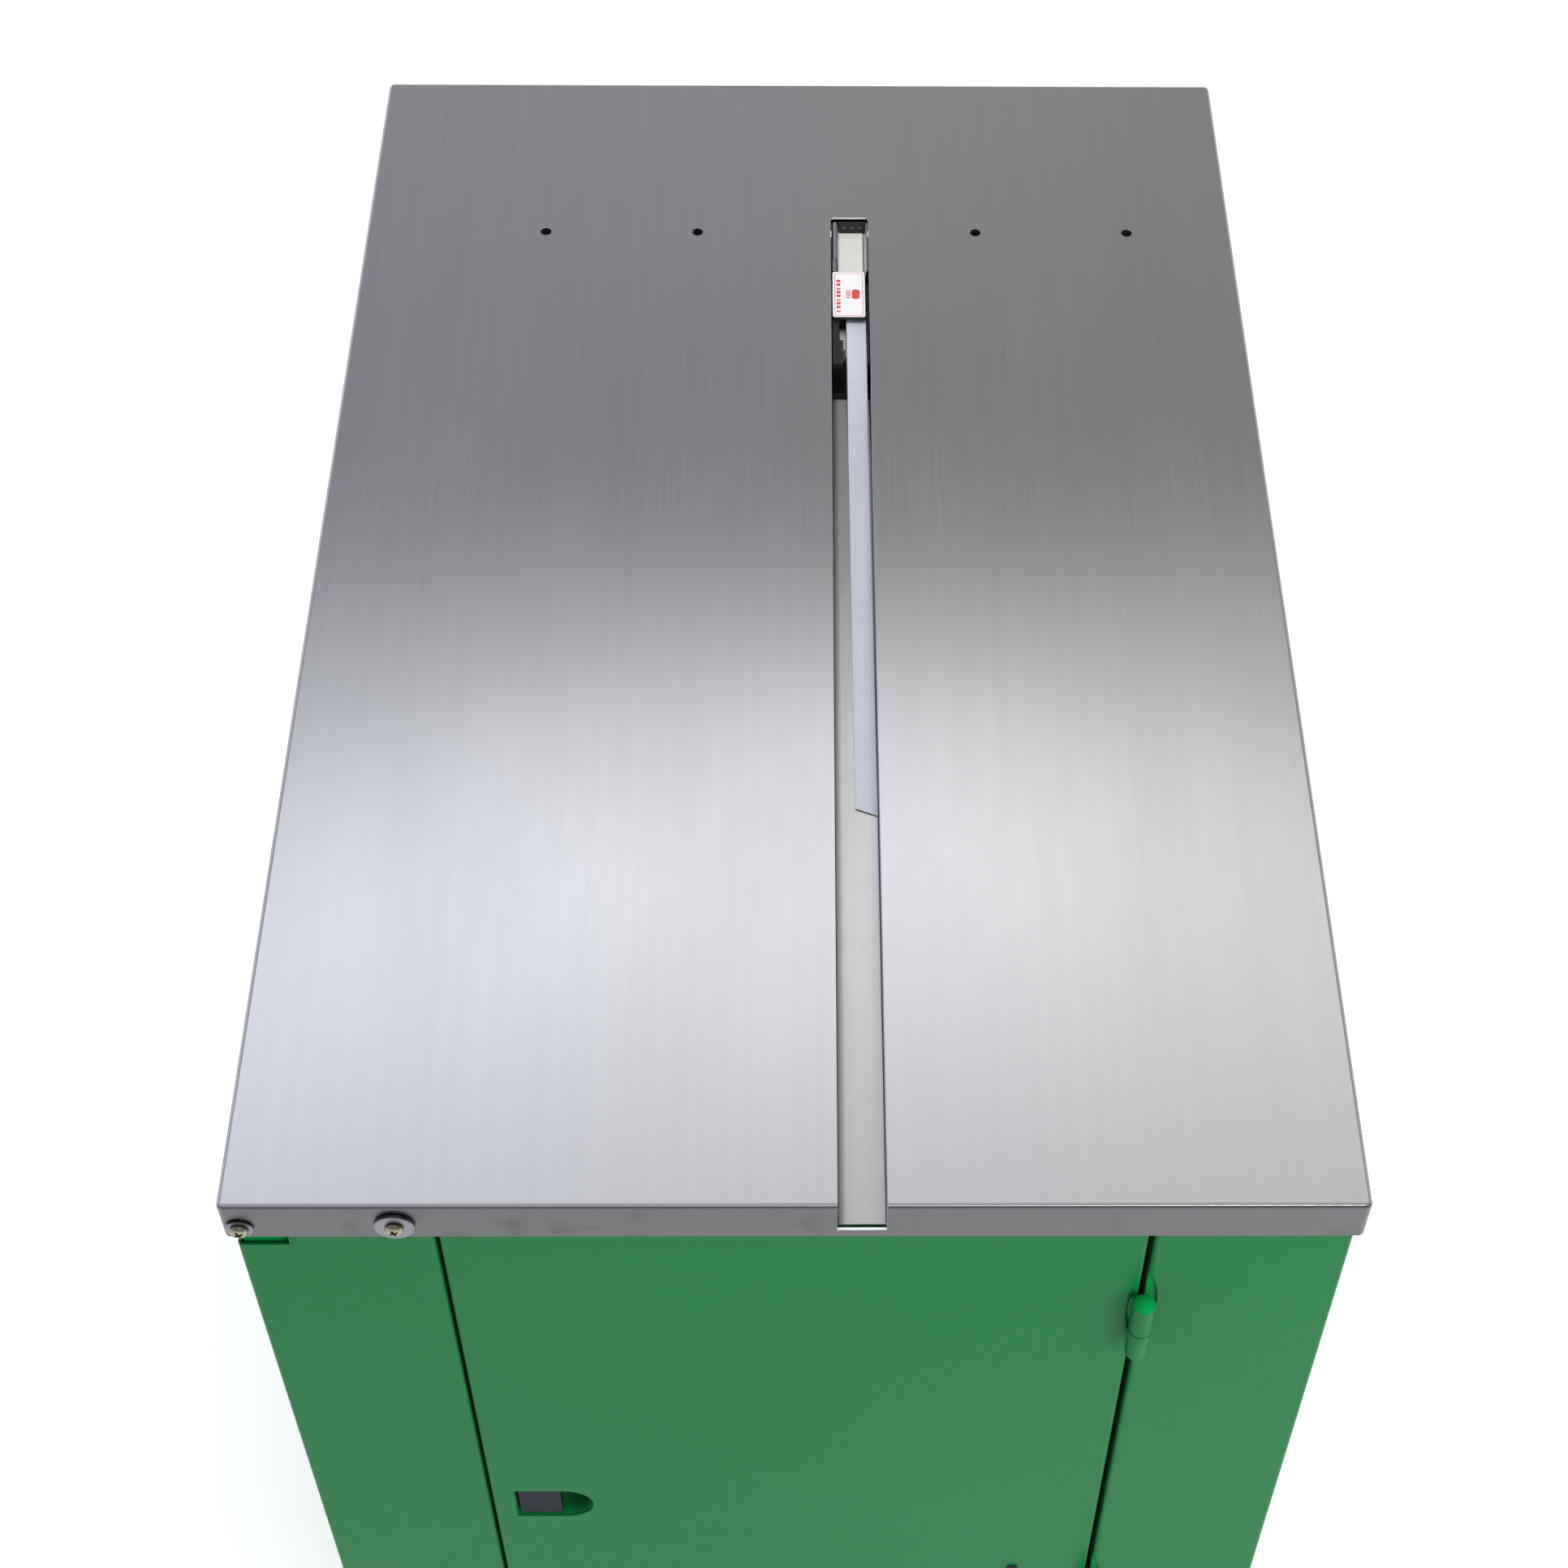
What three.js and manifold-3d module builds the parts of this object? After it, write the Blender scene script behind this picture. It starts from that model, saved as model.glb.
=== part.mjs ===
// Semi-automatic strapping machine: stainless table with a strap slot, green sheet-steel cabinet
// with a reel door, and the strapping head, drive and strap reel inside it.
// Millimetres, +Z up. The origin is on the floor under the middle of the table. +Y runs along the
// table towards the strapping head, -Y is the end with the door, and +X is the operator's side.
import * as THREE from "three";
import { mergeVertices } from "three/addons/utils/BufferGeometryUtils.js";
import Module from "manifold-3d";

const wasm = await Module();
wasm.setup();

// ---- Driving dimensions -------------------------------------------------------------------

const GAP = 0.3; // clearance between pieces that touch
const SHEET = 1.5; // folded sheet thickness

// Table
const TABLE_X = 565 / 2;
const TABLE_Y = 890 / 2;
const TABLE_TOP = 735;
const TABLE_UNDER = TABLE_TOP - SHEET;
const LIP_BOTTOM = TABLE_TOP - 28;
const SLOT_X = [20.5, 45];
const SLOT_END_Y = 302.5;
const STOP_HOLE_Y = 287.5;
const STOP_HOLE_CENTRE_X = 24.4;
const STOP_HOLE_OFFSETS = [-189.9, -90.8, 90.8, 189.9];
const STOP_HOLE_R = 3.5;

// Strap and its channel
const STRAP_WIDTH = 12.5;
const STRAP_THICK = 0.6;
const STRAP_X = 30.2;
const CHANNEL_FLOOR = TABLE_TOP - 20.1;
const CHANNEL_END_Y = 150;
const STRAP_EXIT = { y: 206, z: 727.7 };
const TAIL_END_Y = -183;
const TAIL_DRIFT_X = 1.9;

// Cabinet
const CABINET_X = 278.5;
const CABINET_Y = 442;
const CABINET_BOTTOM = 95;
const DOORWAY = { x: [-179.8, 179.5], z: [182, 706] };
const FLANGE = 15; // depth of the returns round the doorway and the door
const CORNER_NOTCH = { x: -252.5, z: 694 };

// Door
const DOOR = { x: [-177.8, 176.5], z: [184, 704.5] };
const HINGE_AXIS = { x: 178.8, y: -449 };
const HINGE_R = 6;
const HINGE_TOPS = { upper: 648, lower: 295 };
const HINGE_DOOR_HALF = 30;
const HINGE_FRAME_HALF = 26;

// Flush latch
const LATCH = { x: [-165, -119.3], z: [374, 408], pocketY: -426 };
const LATCH_PIVOT = { x: -161, y: -436 };

// Strapping head
const CAM_AXIS = { x: -5, z: 600 };
const HEAD_Y = [152, 300];
const HEAD_PLATE = 8;
const SHELF_TOP = 503;
const STRAP_RISE_Y = 228.95;
const FOLLOWER_X = [29.8, 41.2];

// Drive
const MOTOR_AXIS = { x: -150, z: 562 };
const GEARBOX_AXIS = { x: 15, z: 562 };
const PULLEY_Y = [388, 402];
const MOTOR_PULLEY_R = 25;
const GEARBOX_PULLEY_R = 45;

// Strap reel
const REEL = { y: -205, z: 330, flangeR: 190, coilR: 165, coreR: 98, halfWidth: 95 };
const GUIDE_ROLLER = { y: 208.65, z: 420, r: 19.6 };

// Control recess in the operator's side
const RECESS = { y: [-60, 160], z: [592, 688], face: 258 };
const CONTROL_Z = 640;

// Casters
const CASTER_AT = { x: 222, y: 375 };
const WHEEL_R = 37.5;
const TRAIL = 28;

// ---- Materials ----------------------------------------------------------------------------

function finish(color, roughness, metalness) {
  return { color, roughness, metalness };
}

const STAINLESS = finish(0xb9bbc0, 0.35, 1);
const GREEN = finish(0x3f8a50, 0.4, 0);
const STEEL = finish(0x8d9094, 0.4, 1);
const DARK_STEEL = finish(0x2a2c30, 0.5, 0.6);
const LIGHT_STEEL = finish(0xd2cfc6, 0.4, 0.4);
const NICKEL = finish(0xc9c2a8, 0.3, 1);
const BLACK_PLASTIC = finish(0x17181a, 0.5, 0);
const SLATE_PLASTIC = finish(0x3a3f4a, 0.5, 0);
const RUBBER = finish(0x232323, 0.9, 0);
const STRAP_PLASTIC = finish(0xdcdcea, 0.45, 0);
const MOTOR_GREY = finish(0x6f7a80, 0.5, 0.3);
const RED_PLASTIC = finish(0xb5281f, 0.4, 0);
const COPPER = finish(0xa96a3a, 0.4, 1);

// ---- Solid helpers ------------------------------------------------------------------------

// A closed geometry as a solid, without the faces that collapse where an outline meets an axis.
function solidOf(geometry) {
  const bare = new THREE.BufferGeometry();
  bare.setAttribute("position", geometry.getAttribute("position"));
  bare.setIndex(geometry.index);
  const merged = mergeVertices(bare, 1e-4);
  const corners = merged.index.array;
  const faces = [];
  for (let i = 0; i < corners.length; i += 3) {
    const [a, b, c] = [corners[i], corners[i + 1], corners[i + 2]];
    if (a !== b && b !== c && c !== a) faces.push(a, b, c);
  }
  return new wasm.Manifold(
    new wasm.Mesh({
      numProp: 3,
      vertProperties: merged.attributes.position.array,
      triVerts: new Uint32Array(faces),
    }),
  );
}

function block([x0, x1], [y0, y1], [z0, z1]) {
  const geometry = new THREE.BoxGeometry(x1 - x0, y1 - y0, z1 - z0);
  geometry.translate((x0 + x1) / 2, (y0 + y1) / 2, (z0 + z1) / 2);
  return solidOf(geometry);
}

// A round bar along an axis. centre holds its other two coordinates, in x, y, z order.
function bar(axis, [from, to], [u, v], radius, facets = 20) {
  const geometry = new THREE.CylinderGeometry(radius, radius, to - from, facets);
  const middle = (from + to) / 2;
  if (axis === "x") geometry.rotateZ(-Math.PI / 2).translate(middle, u, v);
  if (axis === "y") geometry.translate(u, middle, v);
  if (axis === "z") geometry.rotateX(Math.PI / 2).translate(u, v, middle);
  return solidOf(geometry);
}

// A flat outline pushed along an axis. Its points are (y, z), (x, z) or (x, y) by the axis.
function prism(axis, [from, to], outline) {
  const points = outline.map(([u, v]) => (axis === "y" ? [v, u] : [u, v]));
  const shape = new THREE.Shape(points.map(([u, v]) => new THREE.Vector2(u, v)));
  const geometry = new THREE.ExtrudeGeometry(shape, { depth: to - from, bevelEnabled: false });
  const [x, y, z] = [
    new THREE.Vector3(1, 0, 0),
    new THREE.Vector3(0, 1, 0),
    new THREE.Vector3(0, 0, 1),
  ];
  geometry.translate(0, 0, from);
  if (axis === "x") geometry.applyMatrix4(new THREE.Matrix4().makeBasis(y, z, x));
  if (axis === "y") geometry.applyMatrix4(new THREE.Matrix4().makeBasis(z, x, y));
  return solidOf(geometry);
}

// A closed (radius, height) profile turned about the Z axis.
function turned(profile, facets = 20) {
  const points = profile.map(([r, z]) => new THREE.Vector2(r, z));
  const geometry = new THREE.LatheGeometry(points, facets);
  geometry.rotateX(Math.PI / 2);
  return solidOf(geometry);
}

function join(first, ...others) {
  return others.reduce((whole, piece) => whole.add(piece), first);
}

function cut(first, ...tools) {
  return tools.reduce((whole, tool) => whole.subtract(tool), first);
}

function arc([u, v], radius, from, to, steps) {
  return Array.from({ length: steps + 1 }, (_, i) => {
    const angle = from + ((to - from) * i) / steps;
    return [u + radius * Math.cos(angle), v + radius * Math.sin(angle)];
  });
}

// ---- Scene graph --------------------------------------------------------------------------

const machine = new THREE.Group();

function piece(name, solid, look, parent = machine) {
  const { vertProperties, triVerts, numProp } = solid.getMesh();
  const geometry = new THREE.BufferGeometry();
  const interleaved = new THREE.InterleavedBuffer(vertProperties, numProp);
  geometry.setAttribute("position", new THREE.InterleavedBufferAttribute(interleaved, 3, 0));
  geometry.setIndex(new THREE.BufferAttribute(triVerts, 1));
  geometry.computeVertexNormals();
  const mesh = new THREE.Mesh(geometry, new THREE.MeshStandardMaterial(look));
  mesh.name = name;
  parent.add(mesh);
  return mesh;
}

function groupAt(x, y, z) {
  const group = new THREE.Group();
  group.position.set(x, y, z);
  machine.add(group);
  return group;
}

// ---- Table --------------------------------------------------------------------------------

const LIP_SCREWS = [
  { name: "corner", x: -273.5, z: 716, washerR: 7, washerThick: 1.2 },
  { name: "inner", x: -197, z: 719, washerR: 10, washerThick: 2 },
];
const SCREW_SHANK_R = 2.5;

function tableTop() {
  const plate = block([-TABLE_X, TABLE_X], [-TABLE_Y, TABLE_Y], [LIP_BOTTOM, TABLE_TOP]);
  const inside = block(
    [-TABLE_X + SHEET, TABLE_X - SHEET],
    [-TABLE_Y + SHEET, TABLE_Y - SHEET],
    [LIP_BOTTOM - 1, TABLE_UNDER],
  );
  const slot = block(SLOT_X, [-TABLE_Y - 1, SLOT_END_Y], [CHANNEL_FLOOR - SHEET - 0.4, TABLE_TOP + 1]);
  const stopHoles = STOP_HOLE_OFFSETS.map((offset) =>
    bar("z", [TABLE_UNDER - 1, TABLE_TOP + 1], [STOP_HOLE_CENTRE_X + offset, STOP_HOLE_Y], STOP_HOLE_R, 16),
  );
  const screwHoles = LIP_SCREWS.map(({ x, z }) =>
    bar("y", [-TABLE_Y - 1, -TABLE_Y + SHEET + 1], [x, z], SCREW_SHANK_R + GAP, 12),
  );
  return cut(plate, inside, slot, ...stopHoles, ...screwHoles);
}

function strapChannel() {
  const [left, right] = SLOT_X;
  const front = -TABLE_Y + SHEET + GAP;
  const outer = block(
    [left - SHEET, right + SHEET],
    [front, CHANNEL_END_Y],
    [CHANNEL_FLOOR - SHEET, TABLE_UNDER - GAP],
  );
  const inside = block([left, right], [front - 1, CHANNEL_END_Y + 1], [CHANNEL_FLOOR, TABLE_TOP]);
  const tongue = block(
    [left + GAP, right - GAP],
    [-TABLE_Y, front + 1],
    [CHANNEL_FLOOR - SHEET, CHANNEL_FLOOR],
  );
  return join(cut(outer, inside), tongue);
}

piece("table_top", tableTop(), STAINLESS);
piece("strap_channel", strapChannel(), STAINLESS);

const SCREW_HEAD_R = 4.7;
for (const { name, x, z, washerR, washerThick } of LIP_SCREWS) {
  const group = groupAt(x, -TABLE_Y, z);
  const headY = -GAP - washerThick - GAP;
  const ring = bar("y", [-GAP - washerThick, -GAP], [0, 0], washerR, 24);
  const ringHole = bar("y", [-washerThick - 1, 0], [0, 0], SCREW_SHANK_R + GAP, 12);
  piece(name + "_lip_washer", cut(ring, ringHole), NICKEL, group);
  const head = turned(
    [[0, 0], [SCREW_HEAD_R, 0], [SCREW_HEAD_R, 1.2], [3.6, 2.5], [1.8, 3.1], [0, 3.2]],
    16,
  )
    .rotate([90, 0, 0])
    .translate([0, headY, 0]);
  const shank = bar("y", [headY - 0.5, SHEET + 1], [0, 0], SCREW_SHANK_R, 12);
  const recess = [
    block([-2.6, 2.6], [headY - 4, headY - 1.6], [-0.55, 0.55]),
    block([-0.55, 0.55], [headY - 4, headY - 1.6], [-2.6, 2.6]),
  ];
  piece(name + "_lip_screw", cut(join(head, shank), ...recess), NICKEL, group);
}

// ---- Cabinet ------------------------------------------------------------------------------

const PANEL_TOP = TABLE_UNDER - GAP;
const FRONT_SHEET = [-CABINET_Y, -CABINET_Y + SHEET];

// A side sheet folded round to the front as a strip, with a return along the doorway.
function sidePanel(side) {
  const outer = side * CABINET_X;
  const inner = outer - side * SHEET;
  const jamb = side < 0 ? DOORWAY.x[0] : DOORWAY.x[1];
  const behindJamb = jamb + side * SHEET;
  const [front, behindFront] = FRONT_SHEET;
  const fold = front + FLANGE;
  const folded = prism("z", [CABINET_BOTTOM, PANEL_TOP], [
    [outer, front], [jamb, front], [jamb, fold], [behindJamb, fold],
    [behindJamb, behindFront], [inner, behindFront], [inner, CABINET_Y], [outer, CABINET_Y],
  ]);
  const overDoor = block(
    [jamb - 3, jamb + 3],
    [behindFront, fold + 1],
    [DOORWAY.z[1] - GAP, PANEL_TOP + 1],
  );
  return cut(folded, overDoor);
}

function leftSidePanel() {
  const notch = block(
    [-CABINET_X - 1, CORNER_NOTCH.x],
    [-CABINET_Y - 1, FRONT_SHEET[1] + 1],
    [CORNER_NOTCH.z, PANEL_TOP + 1],
  );
  return cut(sidePanel(-1), notch);
}

function rightSidePanel() {
  const window = block(
    [CABINET_X - 5, CABINET_X + 5],
    [RECESS.y[0] - 1, RECESS.y[1] + 1],
    [RECESS.z[0] - 1, RECESS.z[1] + 1],
  );
  return cut(sidePanel(1), window);
}

const INNER_X = CABINET_X - SHEET - GAP;
const RAIL_Y = [FRONT_SHEET[1] + GAP, FRONT_SHEET[1] + GAP + SHEET];

// The rail behind the front lip: it hangs lower behind the two front strips than over the door,
// and drops under the strap channel.
function frontRail() {
  const [jambLeft, jambRight] = [DOORWAY.x[0] - SHEET - GAP, DOORWAY.x[1] + SHEET + GAP];
  const low = 690;
  const [slotLeft, slotRight] = [SLOT_X[0] - SHEET - GAP, SLOT_X[1] + SHEET + GAP];
  const underChannel = CHANNEL_FLOOR - SHEET - GAP;
  const over = DOORWAY.z[1];
  return prism("y", RAIL_Y, [
    [-INNER_X, low], [jambLeft, low], [jambLeft, over], [jambRight, over], [jambRight, low],
    [INNER_X, low], [INNER_X, PANEL_TOP], [slotRight, PANEL_TOP], [slotRight, underChannel],
    [slotLeft, underChannel], [slotLeft, PANEL_TOP], [-INNER_X, PANEL_TOP],
  ]);
}

const GLAND_AT = { x: -180, z: 150 };
const GLAND_THREAD_R = 8;

function rearPanel() {
  const sheet = block([-INNER_X, INNER_X], [CABINET_Y - SHEET, CABINET_Y], [CABINET_BOTTOM, PANEL_TOP]);
  const vents = [];
  for (let row = 0; row < 5; row += 1) {
    const z = 560 + 22 * row;
    vents.push(block([-90, 90], [CABINET_Y - 4, CABINET_Y + 4], [z, z + 8]));
  }
  const glandHole = bar("y", [CABINET_Y - 4, CABINET_Y + 4], [GLAND_AT.x, GLAND_AT.z], GLAND_THREAD_R + GAP, 16);
  return cut(sheet, ...vents, glandHole);
}

const PAD_THICK = 3.5;

// The bottom tray, with the apron under the door and a pad over each caster.
function basePan() {
  const [left, right] = [DOORWAY.x[0] + GAP, DOORWAY.x[1] - GAP];
  const floor = block([-INNER_X, INNER_X], [RAIL_Y[1] + FLANGE, CABINET_Y - SHEET - GAP], [95, 97]);
  const sill = block([left, right], [-CABINET_Y, RAIL_Y[1] + FLANGE + 1], [95, 97]);
  const apron = block([left, right], FRONT_SHEET, [95, DOORWAY.z[0]]);
  const wings = [-1, 1].map((side) => {
    const jamb = side < 0 ? DOORWAY.x[0] - SHEET - GAP : DOORWAY.x[1] + SHEET + GAP;
    const x = side < 0 ? [-INNER_X, jamb] : [jamb, INNER_X];
    return block(x, [RAIL_Y[0], RAIL_Y[1] + FLANGE + 1], [95, 97]);
  });
  const pads = casterPlaces().map(({ x, y }) =>
    block([x - 38, x + 38], [y - 38, y + 38], [95 - PAD_THICK, 95.5]),
  );
  return join(floor, sill, apron, ...wings, ...pads);
}

function casterPlaces() {
  const places = [];
  for (const [end, sy] of [["front", -1], ["rear", 1]])
    for (const [side, sx] of [["left", -1], ["right", 1]])
      places.push({ name: end + "_" + side, x: sx * CASTER_AT.x, y: sy * CASTER_AT.y });
  return places;
}

piece("left_side_panel", leftSidePanel(), GREEN);
piece("right_side_panel", rightSidePanel(), GREEN);
piece("front_rail", frontRail(), GREEN);
piece("rear_panel", rearPanel(), GREEN);
piece("base_pan", basePan(), GREEN);

function cableGland() {
  const at = [GLAND_AT.x, GLAND_AT.z];
  const body = join(
    bar("y", [428, CABINET_Y + 1], at, GLAND_THREAD_R, 16),
    bar("y", [432, 438], at, 12, 6),
    bar("y", [CABINET_Y + GAP, 449], at, 12, 6),
    bar("y", [448, 455], at, 9.5, 16),
  );
  return cut(body, bar("y", [420, 460], at, 4, 12));
}

piece("cable_gland", cableGland(), BLACK_PLASTIC);

// ---- Door ---------------------------------------------------------------------------------

// The latch opening: a rectangle whose right end is a half circle.
function latchOutline(grow) {
  const [left, right] = LATCH.x;
  const radius = (LATCH.z[1] - LATCH.z[0]) / 2;
  const middle = (LATCH.z[0] + LATCH.z[1]) / 2;
  const round = arc([right - radius, middle], radius + grow, -Math.PI / 2, Math.PI / 2, 10);
  return [[left - grow, middle + radius + grow], [left - grow, middle - radius - grow], ...round];
}

function doorPanel() {
  const tray = block(DOOR.x, [-CABINET_Y, -CABINET_Y + FLANGE], DOOR.z);
  const inside = block(
    [DOOR.x[0] + SHEET, DOOR.x[1] - SHEET],
    [FRONT_SHEET[1], -CABINET_Y + FLANGE + 1],
    [DOOR.z[0] + SHEET, DOOR.z[1] - SHEET],
  );
  const opening = prism("y", [-CABINET_Y - 1, FRONT_SHEET[1] + 1], latchOutline(0));
  return cut(tray, inside, opening);
}

const LATCH_WALL = 3;

function latchHousing() {
  const front = FRONT_SHEET[1] + GAP;
  const cup = prism("y", [front, LATCH.pocketY + 2], latchOutline(LATCH_WALL));
  const pocket = prism("y", [front - 1, LATCH.pocketY], latchOutline(0));
  const tongueSlot = block([LATCH.x[0] - LATCH_WALL - 1, LATCH.x[0] + 1], [-438, -426.4], [383, 402]);
  return cut(cup, pocket, tongueSlot);
}

function latchPaddle() {
  return join(
    block([-163.8, -138], [-439, -434], [379.5, 405.5]),
    block([-176, -160], [-434.5, -431], [388, 397]),
    bar("z", [376, 406.5], [LATCH_PIVOT.x, LATCH_PIVOT.y], 2, 10),
  );
}

piece("door_panel", doorPanel(), GREEN);
piece("latch_housing", latchHousing(), GREEN);
piece("latch_paddle", latchPaddle(), SLATE_PLASTIC);

const HINGE_PIN_R = 3;
const HINGE_BORE = 22;
for (const [name, top] of Object.entries(HINGE_TOPS)) {
  const group = groupAt(HINGE_AXIS.x, HINGE_AXIS.y, top - HINGE_DOOR_HALF);
  const socket = turned([
    [0, HINGE_BORE], [HINGE_PIN_R + GAP, HINGE_BORE], [HINGE_PIN_R + GAP, GAP], [HINGE_R, GAP],
    [HINGE_R, HINGE_DOOR_HALF - 4], [HINGE_R - 1.8, HINGE_DOOR_HALF - 1.2], [0, HINGE_DOOR_HALF],
  ], 16);
  piece(name + "_hinge_socket", socket, GREEN, group);
  const pin = turned([
    [0, -HINGE_FRAME_HALF], [HINGE_R - 1.8, -HINGE_FRAME_HALF + 1.2], [HINGE_R, -HINGE_FRAME_HALF + 4],
    [HINGE_R, 0], [HINGE_PIN_R, 0], [HINGE_PIN_R, HINGE_BORE - 2], [0, HINGE_BORE - 1],
  ], 16);
  piece(name + "_hinge_pin", pin, GREEN, group);
}

// ---- Strap reel ---------------------------------------------------------------------------

const FLANGE_THICK = 3;
const SHAFT_R = 8;
const REEL_BRACKET_X = [138, 143];

// A reel disc with five round lightening holes, facing +X from x = 0.
function reelDisc() {
  const disc = bar("x", [0, FLANGE_THICK], [0, 0], REEL.flangeR, 36);
  const holes = Array.from({ length: 5 }, (_, i) => {
    const angle = (2 * Math.PI * i) / 5;
    return bar("x", [-1, FLANGE_THICK + 1], [55 * Math.cos(angle), 55 * Math.sin(angle)], 20, 12);
  });
  return cut(disc, ...holes);
}

function tube(axis, span, centre, outer, inner, facets) {
  const wider = [span[0] - 1, span[1] + 1];
  return cut(bar(axis, span, centre, outer, facets), bar(axis, wider, centre, inner, facets));
}

const reel = groupAt(0, REEL.y, REEL.z);
const shaftBore = bar("x", [-160, 160], [0, 0], SHAFT_R + GAP, 16);
const outside = REEL.halfWidth + 1;

const shaft = join(
  bar("x", [-150, 150], [0, 0], SHAFT_R, 16),
  bar("x", [-150, -145], [0, 0], 12, 16),
  bar("x", [145, 150], [0, 0], 12, 16),
);
const leftDisc = join(
  reelDisc().translate([-outside - FLANGE_THICK, 0, 0]),
  tube("x", [-outside - 1, REEL.halfWidth], [0, 0], REEL.coreR - 0.5, REEL.coreR - 4, 36),
  bar("x", [-outside - 20, -outside], [0, 0], 18, 16),
);
const rightDisc = join(
  reelDisc().translate([outside, 0, 0]),
  bar("x", [outside, outside + 20], [0, 0], 18, 16),
);
piece("reel_shaft", shaft, STEEL, reel);
piece("reel_flange_left", cut(leftDisc, shaftBore), STEEL, reel);
piece("reel_flange_right", cut(rightDisc, shaftBore), STEEL, reel);
piece(
  "strap_coil",
  tube("x", [-REEL.halfWidth, REEL.halfWidth], [0, 0], REEL.coilR, REEL.coreR, 36),
  STRAP_PLASTIC,
  reel,
);

function reelBracket(side) {
  const [near, far] = REEL_BRACKET_X;
  const x = side < 0 ? [-far, -near] : [near, far];
  const foot = side < 0 ? [-far, -near + 24] : [near - 24, far];
  const y = [REEL.y - 35, REEL.y + 35];
  const cradleR = SHAFT_R + 0.5;
  return cut(
    join(block(x, y, [97.3, REEL.z + 16]), block(foot, y, [97.3, 101])),
    bar("x", [x[0] - 1, x[1] + 1], [REEL.y, REEL.z], cradleR, 16),
    block([x[0] - 1, x[1] + 1], [REEL.y - cradleR, REEL.y + cradleR], [REEL.z, REEL.z + 20]),
  );
}

piece("reel_bracket_left", reelBracket(-1), GREEN);
piece("reel_bracket_right", reelBracket(1), GREEN);

// ---- Mechanism shelf and head frame -------------------------------------------------------

const STRAP_HOLE = { x: [26, 47], y: [216, 242] };
const LUG_X = [50, 55];

function mechanismShelf() {
  const shelf = block([-INNER_X, INNER_X], [20, CABINET_Y - SHEET - GAP], [SHELF_TOP - 3, SHELF_TOP]);
  const frontFold = block([-INNER_X, INNER_X], [20, 23], [480, SHELF_TOP - 1]);
  const lug = block(LUG_X, [188, 230], [395, SHELF_TOP - 1]);
  const strapHole = block(STRAP_HOLE.x, STRAP_HOLE.y, [SHELF_TOP - 5, SHELF_TOP + 2]);
  const axleHole = bar(
    "x", [LUG_X[0] - 1, LUG_X[1] + 1], [GUIDE_ROLLER.y, GUIDE_ROLLER.z], 5 + GAP, 16,
  );
  return cut(join(shelf, frontFold, lug), strapHole, axleHole);
}

function headFrame() {
  const x = [-50, 70];
  const bottom = SHELF_TOP + GAP;
  const [front, rear] = HEAD_Y;
  const height = [bottom, 705];
  const base = block(x, HEAD_Y, [bottom, bottom + HEAD_PLATE]);
  const plates = [
    block(x, [front, front + HEAD_PLATE], height),
    block(x, [rear - HEAD_PLATE, rear], height),
  ];
  const shaftBores = bar("y", [front - 1, rear + 1], [CAM_AXIS.x, CAM_AXIS.z], 8 + GAP, 16);
  const strapHole = block(STRAP_HOLE.x, STRAP_HOLE.y, [bottom - 1, bottom + HEAD_PLATE + 1]);
  return cut(join(base, ...plates), shaftBores, strapHole);
}

const GUIDE_Y = [HEAD_Y[0] + HEAD_PLATE + GAP, HEAD_Y[1] - HEAD_PLATE - GAP];
const GUIDE_TOP = 730.5;

function leftGuideBlock() {
  return join(
    block([14, 29.5], GUIDE_Y, [655, 705]),
    block([21, 25.6], [166, 250], [704, GUIDE_TOP]),
    block([21, 28], [166, 188], [704, GUIDE_TOP]),
    block([21, 25.6], [249, GUIDE_Y[1]], [704, 721]),
  );
}

const ROLLER_Z = 560;
const FEED_ROLLER = { r: 20, y: STRAP_RISE_Y + 20.6 };
const PINCH_ROLLER = { r: 15, y: STRAP_RISE_Y - 15.6 };
const ROLLER_AXLE_R = 5;

function rightGuideBlock() {
  const body = join(
    block([46.5, 54], GUIDE_Y, [530, 705]),
    block([43.2, 54], GUIDE_Y, [690, 705]),
    block([43.2, 44.7], [166, 250], [704, GUIDE_TOP]),
    block([43.2, 44.7], [249, GUIDE_Y[1]], [704, 721]),
  );
  const axleHoles = [FEED_ROLLER, PINCH_ROLLER].map(({ y }) =>
    bar("x", [40, 60], [y, ROLLER_Z], ROLLER_AXLE_R + GAP, 16),
  );
  const heaterWindow = block([42, 46], [239, 251.5], [724.5, GUIDE_TOP + 1]);
  return cut(body, ...axleHoles, heaterWindow);
}

// The tray that the strap end is pushed into, behind the cover plate.
function insertGuide() {
  const outer = block([21, 44.7], [252, 301.5], [722, 733]);
  const inside = block([26, 41.2], [251, 297], [724, 734]);
  return cut(outer, inside);
}

piece("mechanism_shelf", mechanismShelf(), GREEN);
piece("head_frame", headFrame(), DARK_STEEL);
piece("left_guide_block", leftGuideBlock(), DARK_STEEL);
piece("right_guide_block", rightGuideBlock(), DARK_STEEL);
piece("insert_guide", insertGuide(), LIGHT_STEEL);

// ---- Moving pieces of the head ------------------------------------------------------------

const FOLLOWER_FOOT = { x: [-12, 41.2], z: [625, 636] };
const FRONT_GRIPPER_Y = [192, 218];
const PRESS_BLOCK_Y = [240, 250];
const REAR_GRIPPER_Y = [256, 272];

// A jaw on a vertical slide, with a foot that reaches over its cam.
function follower(y, top) {
  return join(
    block(FOLLOWER_X, y, [630, top]),
    block(FOLLOWER_FOOT.x, [y[0] + 1, y[1] - 1], FOLLOWER_FOOT.z),
  );
}

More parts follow.
